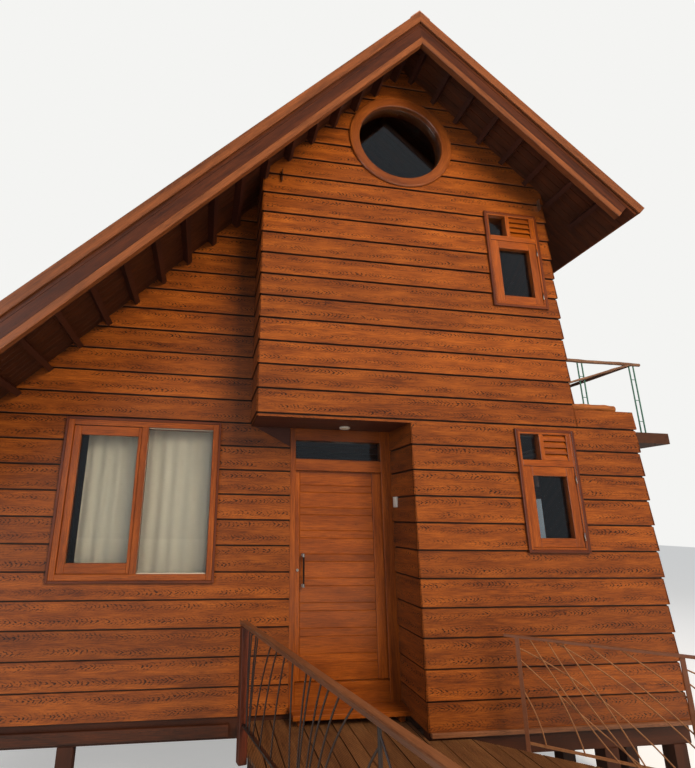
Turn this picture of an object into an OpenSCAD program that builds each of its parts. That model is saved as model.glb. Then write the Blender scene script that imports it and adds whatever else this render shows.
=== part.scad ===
// Raised two-storey timber cottage with a catslide roof, a recessed porch
// and a railed entrance deck. Millimetres, +Z up, ground at z = 0.
// House axes: x runs right along the front, y runs back into the house.

/* [House] */
// Height of the wall foot above the ground
base_z = 840; // [600:10:1500]
// Visible height of one cladding board
course = 260; // [200:1:300]
// Boards between the wall foot and the upper floor soffit
courses_below = 11; // [10:1:13]
// Width of the upper storey
upper_w = 3550; // [3200:10:4200]
// Where the porch ends and the right ground floor wall starts
porch_w = 1620; // [1500:10:1800]
// Width of the ground floor beyond the upper storey on the right
terrace_w = 740; // [500:10:1200]
// Width of the low wing on the left
wing_w = 3200; // [2400:10:4000]
// Depth of the house
house_d = 6000; // [4000:10:8000]
// How far the porch and the wing stand back
recess = 600; // [400:10:1000]
// Wall thickness
wall_t = 150; // [100:5:200]
// Height of the terrace parapet above the soffit
parapet_h = 240; // [150:10:500]

/* [Floors] */
// Top of the ground floor above the wall foot
floor_rise = 250; // [200:10:300]
// Thickness of floor boards
floor_t = 40; // [20:5:60]
// Depth of the upper floor joists
joist_h = 180; // [120:10:220]
// Width of a joist
joist_w = 60; // [40:5:100]
// Spacing of joists
joist_pitch = 600; // [400:10:900]
// Thickness of the terrace slab
terrace_t = 120; // [80:5:200]
// How far the terrace slab stands out on the right
terrace_out = 445; // [200:5:800]

/* [Roof] */
// Pitch of the long left slope in degrees
pitch_l = 46; // [40:0.5:50]
// Pitch of the right slope in degrees
pitch_r = 43.5; // [38:0.5:50]
// Ridge height above the soffit level
ridge_rise = 4940; // [4500:10:5400]
// Thickness of the roof, boards and covering together
roof_t = 150; // [100:5:200]
// Overhang at the front and back
gable_out = 600; // [300:10:900]
// Overhang of the right eave past the upper storey
eave_r = 790; // [400:10:1000]
// Overhang of the left eave past the wing wall
eave_l = 500; // [300:10:800]
// Depth of the purlins under the overhang
purlin_h = 92; // [60:2:140]
// Width of a purlin
purlin_w = 60; // [40:2:100]
// Spacing of purlins along the slope
purlin_pitch = 400; // [300:10:600]
// Depth of the barge rafter under the purlins
barge_h = 105; // [80:5:200]
// Thickness of the barge rafter
barge_t = 60; // [40:5:80]
// How far the barge rafter stops short of the eave
barge_short = 130; // [0:10:300]
// Depth of the trim on the roof edge
trim_h = 110; // [80:5:150]
// Thickness of the roof edge trim
trim_t = 25; // [15:1:40]
// Half width of the ridge cap
cap_w = 160; // [100:10:250]
// Thickness of the ridge cap
cap_t = 12; // [6:1:20]

/* [Round window] */
// Distance of the centre to the left of the ridge
round_off = 70; // [0:5:150]
// Height of the centre above the soffit level
round_z = 3550; // [3300:10:3700]
// Outer radius of the ring
round_r = 670; // [500:5:700]
// Width of the ring
round_ring = 130; // [80:5:180]

/* [Small windows] */
// Overall width of the casing
win_w = 700; // [600:10:800]
// Overall height of the casing
win_h = 1270; // [1000:10:1400]
// Width of the casing
casing_w = 52; // [40:2:80]
// How far casings stand out from the wall
casing_out = 45; // [25:5:60]
// Width of the sash members
sash_w = 100; // [60:5:120]
// Height of the top lights
light_h = 280; // [200:5:350]
// Thickness of the rail under the top lights
rail_h = 65; // [40:5:90]
// From the upper window to the right corner of the upper storey
win_upper_in = 130; // [80:5:600]
// Bottom of the upper window above the soffit level
win_upper_z = 1395; // [1000:5:1700]
// From the lower window to the line of that corner
win_lower_in = 65; // [0:5:600]
// Bottom of the lower window below the soffit level
win_lower_drop = 1325; // [1300:5:1700]

/* [Wing window] */
// Overall width of the wing window
wide_w = 1625; // [1200:5:2000]
// Overall height of the wing window
wide_h = 1650; // [1200:5:1800]
// Its right side, left of the upper storey corner
wide_gap = 340; // [200:5:600]
// Drop of its top below the soffit level
wide_drop = 20; // [0:5:100]
// Width of its casing
wide_casing = 85; // [60:5:120]
// Width of the members of its sliding sash
wide_sash = 100; // [60:5:120]

/* [Door] */
// Left side of the door frame
frame_x = 440; // [400:5:460]
// Width of the right jamb up to the stop
jamb_r = 130; // [80:5:200]
// Height of the door leaf
door_h = 2092; // [1950:1:2150]
// Thickness of the door leaf
door_t = 45; // [35:1:60]
// Clearance all round the leaf
door_gap = 5; // [3:0.5:8]
// Width of the left jamb up to the stop
jamb_w = 60; // [50:5:90]
// How far the stops lap over the leaf
stop_lap = 12; // [8:1:20]
// Height of the glass over the door
transom_h = 210; // [150:5:260]
// Height of the rail under that glass
transom_rail = 120; // [60:5:150]
// Radius of the hinge knuckles
knuckle_r = 6; // [5:0.5:8]
// Length of a hinge
hinge_len = 120; // [80:10:160]
// Width of the latch stile of the leaf
stile_l = 60; // [56:2:80]
// Width of the hinge stile of the leaf
stile_r = 110; // [80:5:140]
// How far the planked field stands back behind the stiles
field_t = 6; // [3:1:12]
// Length of the bow handle
handle_l = 330; // [250:10:400]

/* [Deck and step] */
// Top of the entrance deck above the ground
deck_z = 800; // [600:10:1400]
// Thickness of the deck boards
deck_t = 30; // [20:2:45]
// How far the deck reaches in front of the house
deck_out = 2700; // [1500:50:4000]
// Left edge of the deck, left of the upper storey corner
deck_left = 30; // [0:5:150]
// Sideways run of the left railing per unit forward
deck_skew = 0.21; // [0:0.005:0.3]
// Where the right edge of the deck leaves the wall
deck_corner = 1990; // [1800:10:2200]
// Direction of the diagonal edge in degrees
deck_turn = 38; // [25:1:50]
// Depth of the deck joists
deck_joist = 120; // [80:5:160]
// Top of the entry step above the deck
step_rise = 110; // [80:5:140]
// Thickness of the step
step_t = 45; // [30:5:60]
// Depth of the step
step_d = 250; // [200:5:320]

/* [Railings] */
// Top of the left railing above the deck
rail_top = 985; // [850:5:1100]
// Width of the left handrail
handrail_w = 68; // [60:2:150]
// Thickness of the left handrail
handrail_t = 35; // [20:5:50]
// Side of the square timber posts
rail_post = 75; // [60:5:120]
// Diameter of the railing rods
rod_d = 12; // [8:1:16]
// Bottom bar of the left railing above the deck
low_bar = 200; // [120:10:300]
// Height of a bottom bar
bar_t = 18; // [12:1:24]
// Top of the right railing above the deck
rail_top_r = 870; // [800:5:1000]
// Side of the slim steel posts
slim_post = 32; // [20:2:60]
// Width of the right handrail
rail_w_r = 40; // [32:2:60]
// Thickness of the right handrail
rail_t_r = 20; // [15:1:30]
// Clear length of a bay of the right railing, post to post
bay_r = 1138; // [900:1:1300]

/* [Underside] */
// Side of the stilts
stilt = 140; // [100:10:200]
// Depth of the floor beams
beam_h = 190; // [150:10:250]
// Width of the floor beams
beam_w = 120; // [80:10:160]

/* [Terrace railing] */
// Height of the railing above the terrace
terrace_rail = 860; // [800:10:1100]
// Diameter of one rod of the twin posts
twin_d = 16; // [12:1:25]
// Distance between the two rods of a post
twin_gap = 60; // [40:5:90]
// Diameter of the branch handrail
branch_d = 45; // [30:5:60]
// Diameter of the log on the parapet
log_d = 95; // [60:5:140]

/* [Fittings] */
// Height of a wall hook
hook_h = 150; // [100:10:200]
// How far a wall hook stands out
hook_out = 60; // [40:5:90]
// Thickness of a wall hook
hook_t = 6; // [4:1:10]
// From the wall's edges to the hooks: on the left
hook_in_l = 200; // [100:10:400]
// From the wall's edges to the hooks: on the right
hook_in_r = 60; // [40:5:200]
// Radius of the porch lamp
lamp_r = 60; // [40:5:80]
// Depth of the porch lamp
lamp_t = 18; // [12:1:30]
// Width of the switch plate
switch_w = 86; // [60:2:100]
// Height of the switch plate
switch_h = 112; // [80:2:120]
// Top of the switch plate below the soffit level
switch_drop = 780; // [600:10:1200]

/* [Hidden] */

$fn = 48;
// Gap between sloped faces that seat on each other
fit = 0.3;
// Clearance of a window body in its hole
hole_fit = 1;

// Heights
soffit_z = base_z + courses_below * course - 40;
level_z = base_z + courses_below * course;
floor_z = base_z + floor_rise;
parapet_z = level_z + parapet_h - 40;
upper_floor_z = soffit_z + 20 + joist_h + floor_t;
apex_z = level_z + ridge_rise;
terrace_z = level_z - 25;

// Plan
ridge_x = upper_w / 2;
round_x = ridge_x - round_off;
right_x = upper_w + terrace_w;
eave_r_x = upper_w + eave_r;
eave_l_x = -wing_w - eave_l;
terrace_x = right_x + terrace_out;
roof_y0 = -gable_out;
roof_y1 = house_d + gable_out;
deck_front_y = -deck_out;
// The diagonal edge of the deck is as long as its railing
right_start = 450;
right_bays = 2;
right_bay = bay_r + slim_post;
right_len = right_start + right_bays * right_bay + slim_post;
deck_right = deck_corner + right_len * cos(deck_turn);

// Centre of the plan, brought to the origin
skew = atan(deck_skew);
rail_out = (rail_post + handrail_w) / 2;
box_x0 = min(eave_l_x - trim_t * cos(pitch_l), -wing_w - 50);
box_x1 = max(terrace_x, eave_r_x + trim_t * cos(pitch_r), deck_right);
box_y0 = min(deck_front_y - rail_out * sin(skew), roof_y0 - trim_t);
mid_x = (box_x0 + box_x1) / 2;
mid_y = (box_y0 + roof_y1 + trim_t) / 2;

module placed() translate([-mid_x, -mid_y, 0]) children();

// Extrudes an outline in x and z from y0 to y1
module along_y(y0, y1)
  translate([0, y1, 0]) rotate([90, 0, 0]) linear_extrude(y1 - y0) children();

module box(x0, x1, y0, y1, z0, z1)
  translate([x0, y0, z0]) cube([x1 - x0, y1 - y0, z1 - z0]);

// Length of each slope from the ridge to the eave
slope_r = (eave_r_x - ridge_x) / cos(pitch_r);
slope_l = (ridge_x - eave_l_x) / cos(pitch_l);

// Point on a slope: s along it from the ridge, p below its top. side is 1 or -1.
function slope_pt(side, a, s, p) =
  [ridge_x + side * (s * cos(a) - p * sin(a)), apex_z - s * sin(a) - p * cos(a)];
function ridge_pt(a, p) = [ridge_x, apex_z - p / cos(a)];
function pitch(side) = side > 0 ? pitch_r : pitch_l;
function slope(side) = side > 0 ? slope_r : slope_l;

// A layer of one slope between depths p0 and p1, from the ridge down to s1
module band(side, p0, p1, s1)
  polygon([ridge_pt(pitch(side), p0), slope_pt(side, pitch(side), s1, p0),
           slope_pt(side, pitch(side), s1, p1), ridge_pt(pitch(side), p1)]);

// Height of the roof underside at x
function under_z(x) = x < ridge_x
  ? apex_z - (ridge_x - x) * tan(pitch_l) - roof_t / cos(pitch_l) - fit
  : apex_z - (x - ridge_x) * tan(pitch_r) - roof_t / cos(pitch_r) - fit;

// The two undersides meet the ridge plane at slightly different heights
under_ridge = [[ridge_x, under_z(ridge_x)], [ridge_x, under_z(ridge_x - 0.001)]];

module ground_floor() placed() color("peru") {
  box(-wing_w + wall_t, right_x - wall_t, recess + wall_t, house_d - wall_t,
      floor_z - floor_t, floor_z);
  box(porch_w + wall_t, right_x - wall_t, wall_t, recess + wall_t,
      floor_z - floor_t, floor_z);
}

// From a wall's inner face to the first joist
joist_in = 60;

// Rows of beams along x, carried by the stilts
beam_rows = [stilt / 2, recess + stilt / 2, house_d / 2, house_d - stilt / 2];
stilt_cols = [-wing_w + stilt, -wing_w / 2, stilt, porch_w + stilt, upper_w - stilt, right_x - stilt];
beam_top = base_z;
beam_z = beam_top - beam_h;

module floor_beams() placed() color("firebrick")
  for (i = [0 : len(beam_rows) - 1])
    box(i == 0 ? porch_w : -wing_w, right_x, beam_rows[i] - beam_w / 2, beam_rows[i] + beam_w / 2,
        beam_z, beam_top);

module floor_joists() placed() color("firebrick")
  for (y = [recess + wall_t + joist_in : joist_pitch : house_d - wall_t - joist_w])
    box(-wing_w + wall_t, right_x - wall_t, y, y + joist_w, beam_top, floor_z - floor_t);

// The stilts of the house and the legs of the deck
module stilts() placed() color("saddlebrown") {
  for (i = [0 : len(beam_rows) - 1])
    for (j = [0 : len(stilt_cols) - 1])
      if (i > 0 || stilt_cols[j] > porch_w)
        box(stilt_cols[j] - stilt / 2, stilt_cols[j] + stilt / 2,
            beam_rows[i] - stilt / 2, beam_rows[i] + stilt / 2, 0, beam_z);
  for (y = deck_rows)
    for (x = [deck_x0(y) + deck_leg, (deck_x0(y) + deck_x1(y)) / 2, deck_x1(y) - deck_leg])
      box(x - deck_leg / 2, x + deck_leg / 2, y - deck_leg / 2, y + deck_leg / 2,
          0, joist_top - deck_joist);
}

// Skirt under the wing and pale strip under the right front wall
skirt_out = 30;
skirt_drop = 60;
strip_out = 45;
strip_h = 40;
strip_up = 16;

module skirt_boards() placed() color("burlywood") {
  box(-wing_w, -rail_post - deck_left - skirt_out, recess - skirt_out,
      recess + stilt / 2 - beam_w / 2, beam_z + skirt_out, beam_top - skirt_drop);
  box(porch_w, right_x, -strip_out, 0, base_z + strip_up - strip_h, base_z + strip_up);
}

// Outline of a rectangle with its lower left corner at x, z
module pane(x, z, w, h) translate([x, z]) square([w, h]);

// Hole for a small window whose casing starts at x, z
module small_hole(x, z)
  pane(x + casing_w / 2, z + casing_w / 2, win_w - casing_w, win_h - casing_w);

win_upper_x = upper_w - win_upper_in - win_w;
win_lower_x = upper_w - win_lower_in - win_w;
win_lower_z = level_z - win_lower_drop;
upper_win_z = level_z + win_upper_z;

module lower_front_wall() placed() color("chocolate") along_y(0, wall_t) difference() {
  polygon([[porch_w, base_z], [right_x, base_z], [right_x, parapet_z],
           [upper_w, parapet_z], [upper_w, soffit_z], [porch_w, soffit_z]]);
  small_hole(win_lower_x, win_lower_z);
}

module porch_return_wall() placed() color("sienna")
  box(porch_w, porch_w + wall_t, wall_t, recess + wall_t, base_z, soffit_z);

wide_x = -wide_gap - wide_w;
wide_z = level_z - wide_drop - wide_h;

module wing_front_wall() placed() color("chocolate") along_y(recess, recess + wall_t) difference() {
  polygon([[-wing_w, base_z], [frame_x, base_z], [frame_x, soffit_z],
           [0, soffit_z], [0, under_z(0)], [-wing_w, under_z(-wing_w)]]);
  pane(wide_x + wide_casing / 2, wide_z + wide_casing / 2,
       wide_w - wide_casing, wide_h - wide_casing);
}

// Small windows on the unseen sides
side_win_y = [house_d * 0.3, house_d * 0.7];
back_win_x = [upper_w * 0.25 - win_w / 2, upper_w * 0.75 - win_w / 2];
side_win_z = terrace_z - terrace_t - win_h - 60;

module wing_side_wall() placed() color("chocolate")
  along_y(recess + wall_t, house_d - wall_t)
    polygon([[-wing_w, base_z], [-wing_w + wall_t, base_z],
             [-wing_w + wall_t, under_z(-wing_w + wall_t)], [-wing_w, under_z(-wing_w)]]);

module lower_back_wall() placed() color("chocolate")
  along_y(house_d - wall_t, house_d) difference() {
    polygon([[-wing_w, base_z], [right_x, base_z], [right_x, terrace_z - terrace_t],
             [upper_w, terrace_z - terrace_t], [upper_w, soffit_z],
             [-wing_w + (soffit_z - under_z(-wing_w)) / tan(pitch_l), soffit_z],
             [-wing_w, under_z(-wing_w)]]);
    for (x = back_win_x) small_hole(x, win_lower_z);
  }

module lower_right_wall() placed() color("chocolate")
  translate([right_x - wall_t, 0, 0]) rotate([90, 0, 90]) linear_extrude(wall_t) difference() {
    pane(wall_t, base_z, house_d - 2 * wall_t, terrace_z - terrace_t - base_z);
    for (y = side_win_y) small_hole(y - win_w / 2, side_win_z);
  }

module upper_front_wall() placed() color("sienna") along_y(0, wall_t) difference() {
  polygon([[0, soffit_z], [upper_w, soffit_z], [upper_w, under_z(upper_w)],
           under_ridge[0], under_ridge[1], [0, under_z(0)]]);
  small_hole(win_upper_x, upper_win_z);
  translate([round_x, level_z + round_z]) circle(r = round_r - round_ring / 2);
}

// The left wall of the upper storey is short: behind it the wing is open to the roof
module upper_side_walls() placed() color("sienna") {
  along_y(wall_t, recess + wall_t)
    polygon([[0, soffit_z], [wall_t, soffit_z], [wall_t, under_z(wall_t)], [0, under_z(0)]]);
  along_y(wall_t, house_d - wall_t)
    polygon([[upper_w - wall_t, soffit_z], [upper_w, soffit_z],
             [upper_w, under_z(upper_w)], [upper_w - wall_t, under_z(upper_w - wall_t)]]);
}

module upper_back_wall() placed() color("sienna")
  along_y(house_d - wall_t, house_d) difference() {
    polygon([[-wing_w + (soffit_z - under_z(-wing_w)) / tan(pitch_l), soffit_z],
             [upper_w, soffit_z], [upper_w, under_z(upper_w)],
             under_ridge[0], under_ridge[1]]);
    for (x = back_win_x) small_hole(x, upper_win_z - casing_w);
  }

module upper_floor() placed() color("peru") {
  box(0, upper_w - wall_t, recess + wall_t, house_d - wall_t, upper_floor_z - floor_t, upper_floor_z);
  box(wall_t, upper_w - wall_t, wall_t, recess + wall_t, upper_floor_z - floor_t, upper_floor_z);
}

module upper_joists() placed() color("sienna")
  for (y = [wall_t + joist_in : joist_pitch : house_d - wall_t - joist_w])
    box(y < recess + wall_t ? wall_t : 0, upper_w - wall_t, y, y + joist_w,
        soffit_z + 20, upper_floor_z - floor_t);

// A beam under the joists at the open left edge, and one under the right upper wall
module upper_beams() placed() color("sienna") {
  box(0, beam_w, recess + wall_t, house_d - wall_t, soffit_z + 20 - beam_h, soffit_z + 20);
  box(upper_w - wall_t - beam_w, upper_w - wall_t, wall_t, house_d - wall_t,
      soffit_z + 20 - beam_h, soffit_z + 20);
  box(upper_w - wall_t - 1, upper_w, wall_t, house_d - wall_t, soffit_z - beam_h, soffit_z);
}

module porch_ceiling() placed() color("saddlebrown")
  box(wall_t, porch_w, wall_t, recess, soffit_z, soffit_z + 20);

module terrace_slab() placed() color("dimgray") {
  box(upper_w, terrace_x, wall_t, house_d, terrace_z - terrace_t, terrace_z);
  box(right_x, terrace_x, 0, wall_t, terrace_z - terrace_t, terrace_z);
}

module roof_left() placed() color("saddlebrown") along_y(roof_y0, roof_y1)
  band(-1, 0, roof_t, slope_l);

module roof_right() placed() color("saddlebrown") along_y(roof_y0, roof_y1)
  band(1, 0, roof_t, slope_r);

module ridge_cap() placed() color("rosybrown") along_y(roof_y0 - trim_t, roof_y1 + trim_t) {
  band(1, -cap_t, -fit, cap_w);
  band(-1, -cap_t, -fit, cap_w);
}

// The inner lower edge of a purlin that ends s down the left slope
function purlin_x(s) =
  slope_pt(-1, pitch_l, s - purlin_w, roof_t + purlin_h)[0];

// Purlins of one slope between y0 and y1, seated under the roof. Those left of
// the upper storey run on to y2.
module purlins(side, y0, y1, y2)
  for (s = [purlin_pitch : purlin_pitch : slope(side) - barge_short])
    translate([ridge_x, y0, apex_z]) rotate([0, side * pitch(side), 0])
      translate([side > 0 ? s - purlin_w : -s, 0, -roof_t - purlin_h])
        cube([purlin_w, (side < 0 && purlin_x(s) < 0 ? y2 : y1) - y0, purlin_h - fit]);

module roof_purlins() placed() color("saddlebrown") {
  purlins(1, roof_y0 + barge_t + fit, 0, 0);
  purlins(-1, roof_y0 + barge_t + fit, 0, recess);
  for (side = [-1, 1])
    purlins(side, house_d, roof_y1 - barge_t - fit, roof_y1 - barge_t - fit);
}

module barge(y0, y1) along_y(y0, y1)
  for (side = [-1, 1])
    band(side, roof_t + fit, roof_t + purlin_h + barge_h, slope(side) - barge_short);

module barge_rafters() placed() color("chocolate") {
  barge(roof_y0, roof_y0 + barge_t);
  barge(roof_y1 - barge_t, roof_y1);
}

// Boards on the gable edges and along the eaves
module roof_trim() placed() color("peru") {
  for (y = [[roof_y0 - trim_t, roof_y0 - fit], [roof_y1 + fit, roof_y1 + trim_t]])
    along_y(y[0], y[1])
      for (side = [-1, 1]) band(side, 0, trim_h, slope(side) + trim_t);
  along_y(roof_y0 - 1, roof_y1 + 1)
    for (side = [-1, 1])
      polygon([for (q = [[fit, 0], [trim_t, 0], [trim_t, trim_h], [fit, trim_h]])
        slope_pt(side, pitch(side), slope(side) + q[0], q[1])]);
}

module round_window_ring() placed() color("peru")
  translate([round_x, 0, level_z + round_z]) rotate([90, 0, 0]) rotate_extrude() polygon([
    [round_r - round_ring, -wall_t], [round_r - round_ring / 2 - hole_fit, -wall_t],
    [round_r - round_ring / 2 - hole_fit, 0], [round_r, 0],
    [round_r, casing_out - 12], [round_r - 12, casing_out],
    [round_r - round_ring, casing_out]]);

// Inner sizes of a small window, measured from the corner of its casing
light_z = win_h - casing_w - light_h;
light_split = win_w * 0.39;
bar_w = 50;
// A sash stands this far back from its casing
relief_t = 12;

// The left top light is glazed and the right one is a wooden vent panel
vent_w = win_w - casing_w * 2 - light_split - bar_w;

module small_panes() {
  pane(casing_w, light_z, light_split - casing_w, light_h);
  pane(casing_w + sash_w, casing_w + sash_w * 0.9,
       win_w - 2 * (casing_w + sash_w), light_z - rail_h - casing_w - 1.9 * sash_w);
}

module small_frame() {
  along_y(-casing_out, -casing_out + relief_t) difference() {
    square([win_w, win_h]);
    pane(casing_w, light_z, light_split - casing_w, light_h);
    pane(light_split + bar_w, light_z, vent_w, light_h);
    pane(casing_w, casing_w, win_w - 2 * casing_w, light_z - rail_h - casing_w);
  }
  along_y(-casing_out + relief_t, 0) difference() {
    square([win_w, win_h]);
    small_panes();
    pane(light_split + bar_w, light_z, vent_w, light_h);
  }
  along_y(0, wall_t) difference() {
    pane(casing_w / 2 + hole_fit, casing_w / 2 + hole_fit,
         win_w - casing_w - 2 * hole_fit, win_h - casing_w - 2 * hole_fit);
    small_panes();
  }
}

module small_glass() along_y(20, 28) small_panes();

// Puts a small window at each place where one is
module at_small_windows() {
  translate([win_upper_x, 0, upper_win_z]) children();
  translate([win_lower_x, 0, win_lower_z]) children();
  for (x = back_win_x)
    translate([x + win_w, house_d, win_lower_z]) rotate([0, 0, 180]) children();
  for (x = back_win_x)
    translate([x + win_w, house_d, upper_win_z - casing_w]) rotate([0, 0, 180]) children();
  for (y = side_win_y)
    translate([right_x, y - win_w / 2, side_win_z]) rotate([0, 0, 90]) children();
}

module small_window_frames() placed() color("peru") at_small_windows() small_frame();

// The wing window: a fixed pane on the right and a sliding sash on the left
wide_mid = wide_w * 0.5 - wide_sash * 0.1;

module wide_panes() {
  pane(wide_casing + wide_sash * 0.75, wide_casing + wide_sash,
       wide_mid - wide_casing - wide_sash * 1.3, wide_h - 2 * wide_casing - wide_sash * 2);
  pane(wide_mid + wide_sash * 0.45, wide_casing,
       wide_w - wide_casing - wide_mid - wide_sash * 0.45, wide_h - 2 * wide_casing);
}

module wing_window_frame() placed() color("peru") translate([wide_x, recess, wide_z]) {
  along_y(-casing_out, -casing_out + 2 * relief_t) difference() {
    square([wide_w, wide_h]);
    pane(wide_casing, wide_casing, wide_mid - wide_casing - wide_sash * 0.2, wide_h - 2 * wide_casing);
    pane(wide_mid + wide_sash * 0.45, wide_casing,
         wide_w - wide_casing - wide_mid - wide_sash * 0.45, wide_h - 2 * wide_casing);
  }
  along_y(-casing_out + 2 * relief_t, 0) difference() {
    square([wide_w, wide_h]);
    wide_panes();
  }
  along_y(0, wall_t) difference() {
    pane(wide_casing / 2 + hole_fit, wide_casing / 2 + hole_fit,
         wide_w - wide_casing - 2 * hole_fit, wide_h - wide_casing - 2 * hole_fit);
    wide_panes();
  }
}

module wing_curtain() placed() color("gainsboro") translate([wide_x, recess, wide_z])
  along_y(wall_t + fit, wall_t + 12)
    pane(wide_casing, wide_casing * 0.6, wide_w - 2 * wide_casing, wide_h - 1.2 * wide_casing);

// Door frame: stops in front of the leaf, a rebate behind them
stop_x0 = frame_x + jamb_w;
door_w = porch_w - frame_x - jamb_w - jamb_r;
stop_x1 = stop_x0 + door_w;
// The latch edge has 2 mm more, because it swings out past the gap
leaf_x0 = stop_x0 - stop_lap + door_gap + 2;
leaf_x1 = stop_x1 + stop_lap - door_gap;
frame_y0 = recess - 20;
leaf_y0 = frame_y0 + 35 + door_gap;
leaf_y1 = leaf_y0 + door_t;
sill_z = floor_z + 10;
leaf_z0 = sill_z + door_gap;
leaf_z1 = leaf_z0 + door_h;
stop_z1 = leaf_z1 - stop_lap + door_gap;
glass_z0 = leaf_z1 + transom_rail;
glass_z1 = glass_z0 + transom_h;
frame_x1 = porch_w;
// Room for the hinge knuckles behind the leaf
relief = 2 * knuckle_r;
step_z = deck_z + step_rise;

module door_frame() placed() color("peru") {
  along_y(frame_y0, leaf_y0 - door_gap) difference() {
    pane(frame_x, base_z, frame_x1 - frame_x, soffit_z - base_z);
    pane(stop_x0, sill_z, door_w, stop_z1 - sill_z);
    pane(stop_x0, glass_z0, door_w, transom_h);
  }
  along_y(leaf_y0 - door_gap, leaf_y1) difference() {
    pane(frame_x, base_z, frame_x1 - frame_x, soffit_z - base_z);
    pane(stop_x0 - stop_lap, sill_z, door_w + 2 * stop_lap, leaf_z1 + door_gap - sill_z);
    pane(stop_x0, glass_z0, door_w, transom_h);
  }
  along_y(leaf_y1, recess + wall_t) difference() {
    pane(frame_x, base_z, frame_x1 - frame_x, soffit_z - base_z);
    pane(stop_x0 - stop_lap, sill_z, door_w + 2 * stop_lap + relief, leaf_z1 + door_gap - sill_z);
    pane(stop_x0, glass_z0, door_w, transom_h);
  }
}

// All the fixed panes
module window_glass() placed() color("lightsteelblue") {
  translate([round_x, 30, level_z + round_z]) rotate([90, 0, 0])
    cylinder(r = round_r - round_ring, h = 8, center = true);
  at_small_windows() small_glass();
  translate([wide_x, recess, wide_z]) along_y(20, 28) wide_panes();
  box(stop_x0, stop_x1, leaf_y0, leaf_y0 + 8, glass_z0, glass_z1);
}

// The planked field stands back between the two stiles, on both faces
module door_leaf() placed() color("peru") difference() {
  box(leaf_x0, leaf_x1, leaf_y0, leaf_y1, leaf_z0, leaf_z1);
  for (y = [leaf_y0 - field_t, leaf_y1 - field_t])
    box(leaf_x0 + stile_l, leaf_x1 - stile_r, y, y + 2 * field_t, leaf_z0 - 1, leaf_z1 + 1);
}

// Bow handle on the planked field, and the lock's rose on the stile beside it
handle_x = leaf_x0 + stile_l + 35;
handle_z = leaf_z0 + door_h * 0.42;
handle_out = 45;
bow_r = 10;
leg_r = 8;
leg_in = 15;
rose_r = 14;

module door_handle() placed() color("silver") {
  for (z = [leg_in, handle_l - leg_in])
    translate([handle_x, leaf_y0 + field_t, handle_z + z]) rotate([90, 0, 0])
      cylinder(r = leg_r, h = handle_out + field_t);
  translate([handle_x, leaf_y0 - handle_out, handle_z]) cylinder(r = bow_r, h = handle_l);
  translate([leaf_x0 + stile_l * 0.6, leaf_y0, handle_z + handle_l / 2]) rotate([90, 0, 0])
    cylinder(r = rose_r, h = leg_r);
}

// The axis of the hinges lies just behind the leaf, in its side gap
hinge_x = leaf_x1 + door_gap / 2;
hinge_y = leaf_y1 + knuckle_r + 2;
hinge_zs = [leaf_z0 + 200, leaf_z0 + door_h / 2, leaf_z1 - 200];

// A hinge has three knuckles: the outer two and the pin belong to the frame,
// the middle one to the leaf
knuckle_h = hinge_len / 3;
pin_r = knuckle_r / 2;
plate_t = 3;

module frame_hinges() placed() color("silver")
  for (z = hinge_zs) {
    translate([hinge_x, hinge_y, z - hinge_len / 2]) cylinder(r = pin_r, h = hinge_len);
    for (dz = [-hinge_len / 2, knuckle_h / 2 + fit]) {
      translate([hinge_x, hinge_y, z + dz]) cylinder(r = knuckle_r, h = knuckle_h - fit);
      box(hinge_x, stop_x1 + stop_lap + relief, hinge_y - plate_t / 2, hinge_y + plate_t / 2,
          z + dz, z + dz + knuckle_h - fit);
    }
  }

module leaf_hinges() placed() color("silver")
  for (z = hinge_zs)
    difference() {
      union() {
        translate([hinge_x, hinge_y, z - knuckle_h / 2]) cylinder(r = knuckle_r, h = knuckle_h);
        box(leaf_x1 - 40, hinge_x, leaf_y1, leaf_y1 + plate_t,
            z - knuckle_h / 2, z + knuckle_h / 2);
      }
      translate([hinge_x, hinge_y, z - knuckle_h])
        cylinder(r = pin_r + 0.08, h = 2 * knuckle_h);
    }

// The step rests on two bearers, which stand back from its edges by their width
bearer_w = 60;

module entry_step() placed() color("chocolate") {
  box(frame_x, frame_x1, frame_y0 - step_d, frame_y0, step_z - step_t, step_z);
  for (x = [frame_x + bearer_w, frame_x1 - 2 * bearer_w])
    box(x, x + bearer_w, frame_y0 - step_d + bearer_w, frame_y0, deck_z, step_z - step_t);
}

module porch_lamp() placed() color("white")
  translate([porch_w * 0.63, recess * 0.68, soffit_z - lamp_t]) cylinder(r = lamp_r, h = lamp_t);

switch_t = 9;

module light_switch() placed() color("white")
  box(porch_w - switch_t, porch_w, recess * 0.72, recess * 0.72 + switch_w,
      level_z - switch_drop - switch_h, level_z - switch_drop);

// Outline of the deck, seen from above. It stays clear of the walls.
deck_gap = 22;
corner_y = -30;
deck_y1 = recess - deck_gap;
diag_end = [deck_right, corner_y - (deck_right - deck_corner) * tan(deck_turn)];
deck_outline = [
  [-deck_left, deck_y1], [-deck_left, 0],
  [-deck_left + deck_skew * deck_out, deck_front_y], [deck_right, deck_front_y],
  diag_end, [deck_corner, corner_y], [porch_w - deck_gap, corner_y],
  [porch_w - deck_gap, deck_y1]];

module deck_boards() placed() color("burlywood")
  translate([0, 0, deck_z - deck_t]) linear_extrude(deck_t) polygon(deck_outline);

joist_top = deck_z - deck_t;
deck_leg = 100;
deck_beam_w = 80;
deck_rows = [for (i = [0 : 2]) -deck_leg - i * (deck_out - 2 * deck_leg) / 2];
// Ends of a deck beam in the row at y
function deck_x0(y) = -deck_left - deck_skew * (y - deck_beam_w / 2) + 1;
function deck_x1(y) = y > diag_end[1]
  ? deck_corner - (y + deck_beam_w / 2 - corner_y) / tan(deck_turn) : deck_right;

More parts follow.
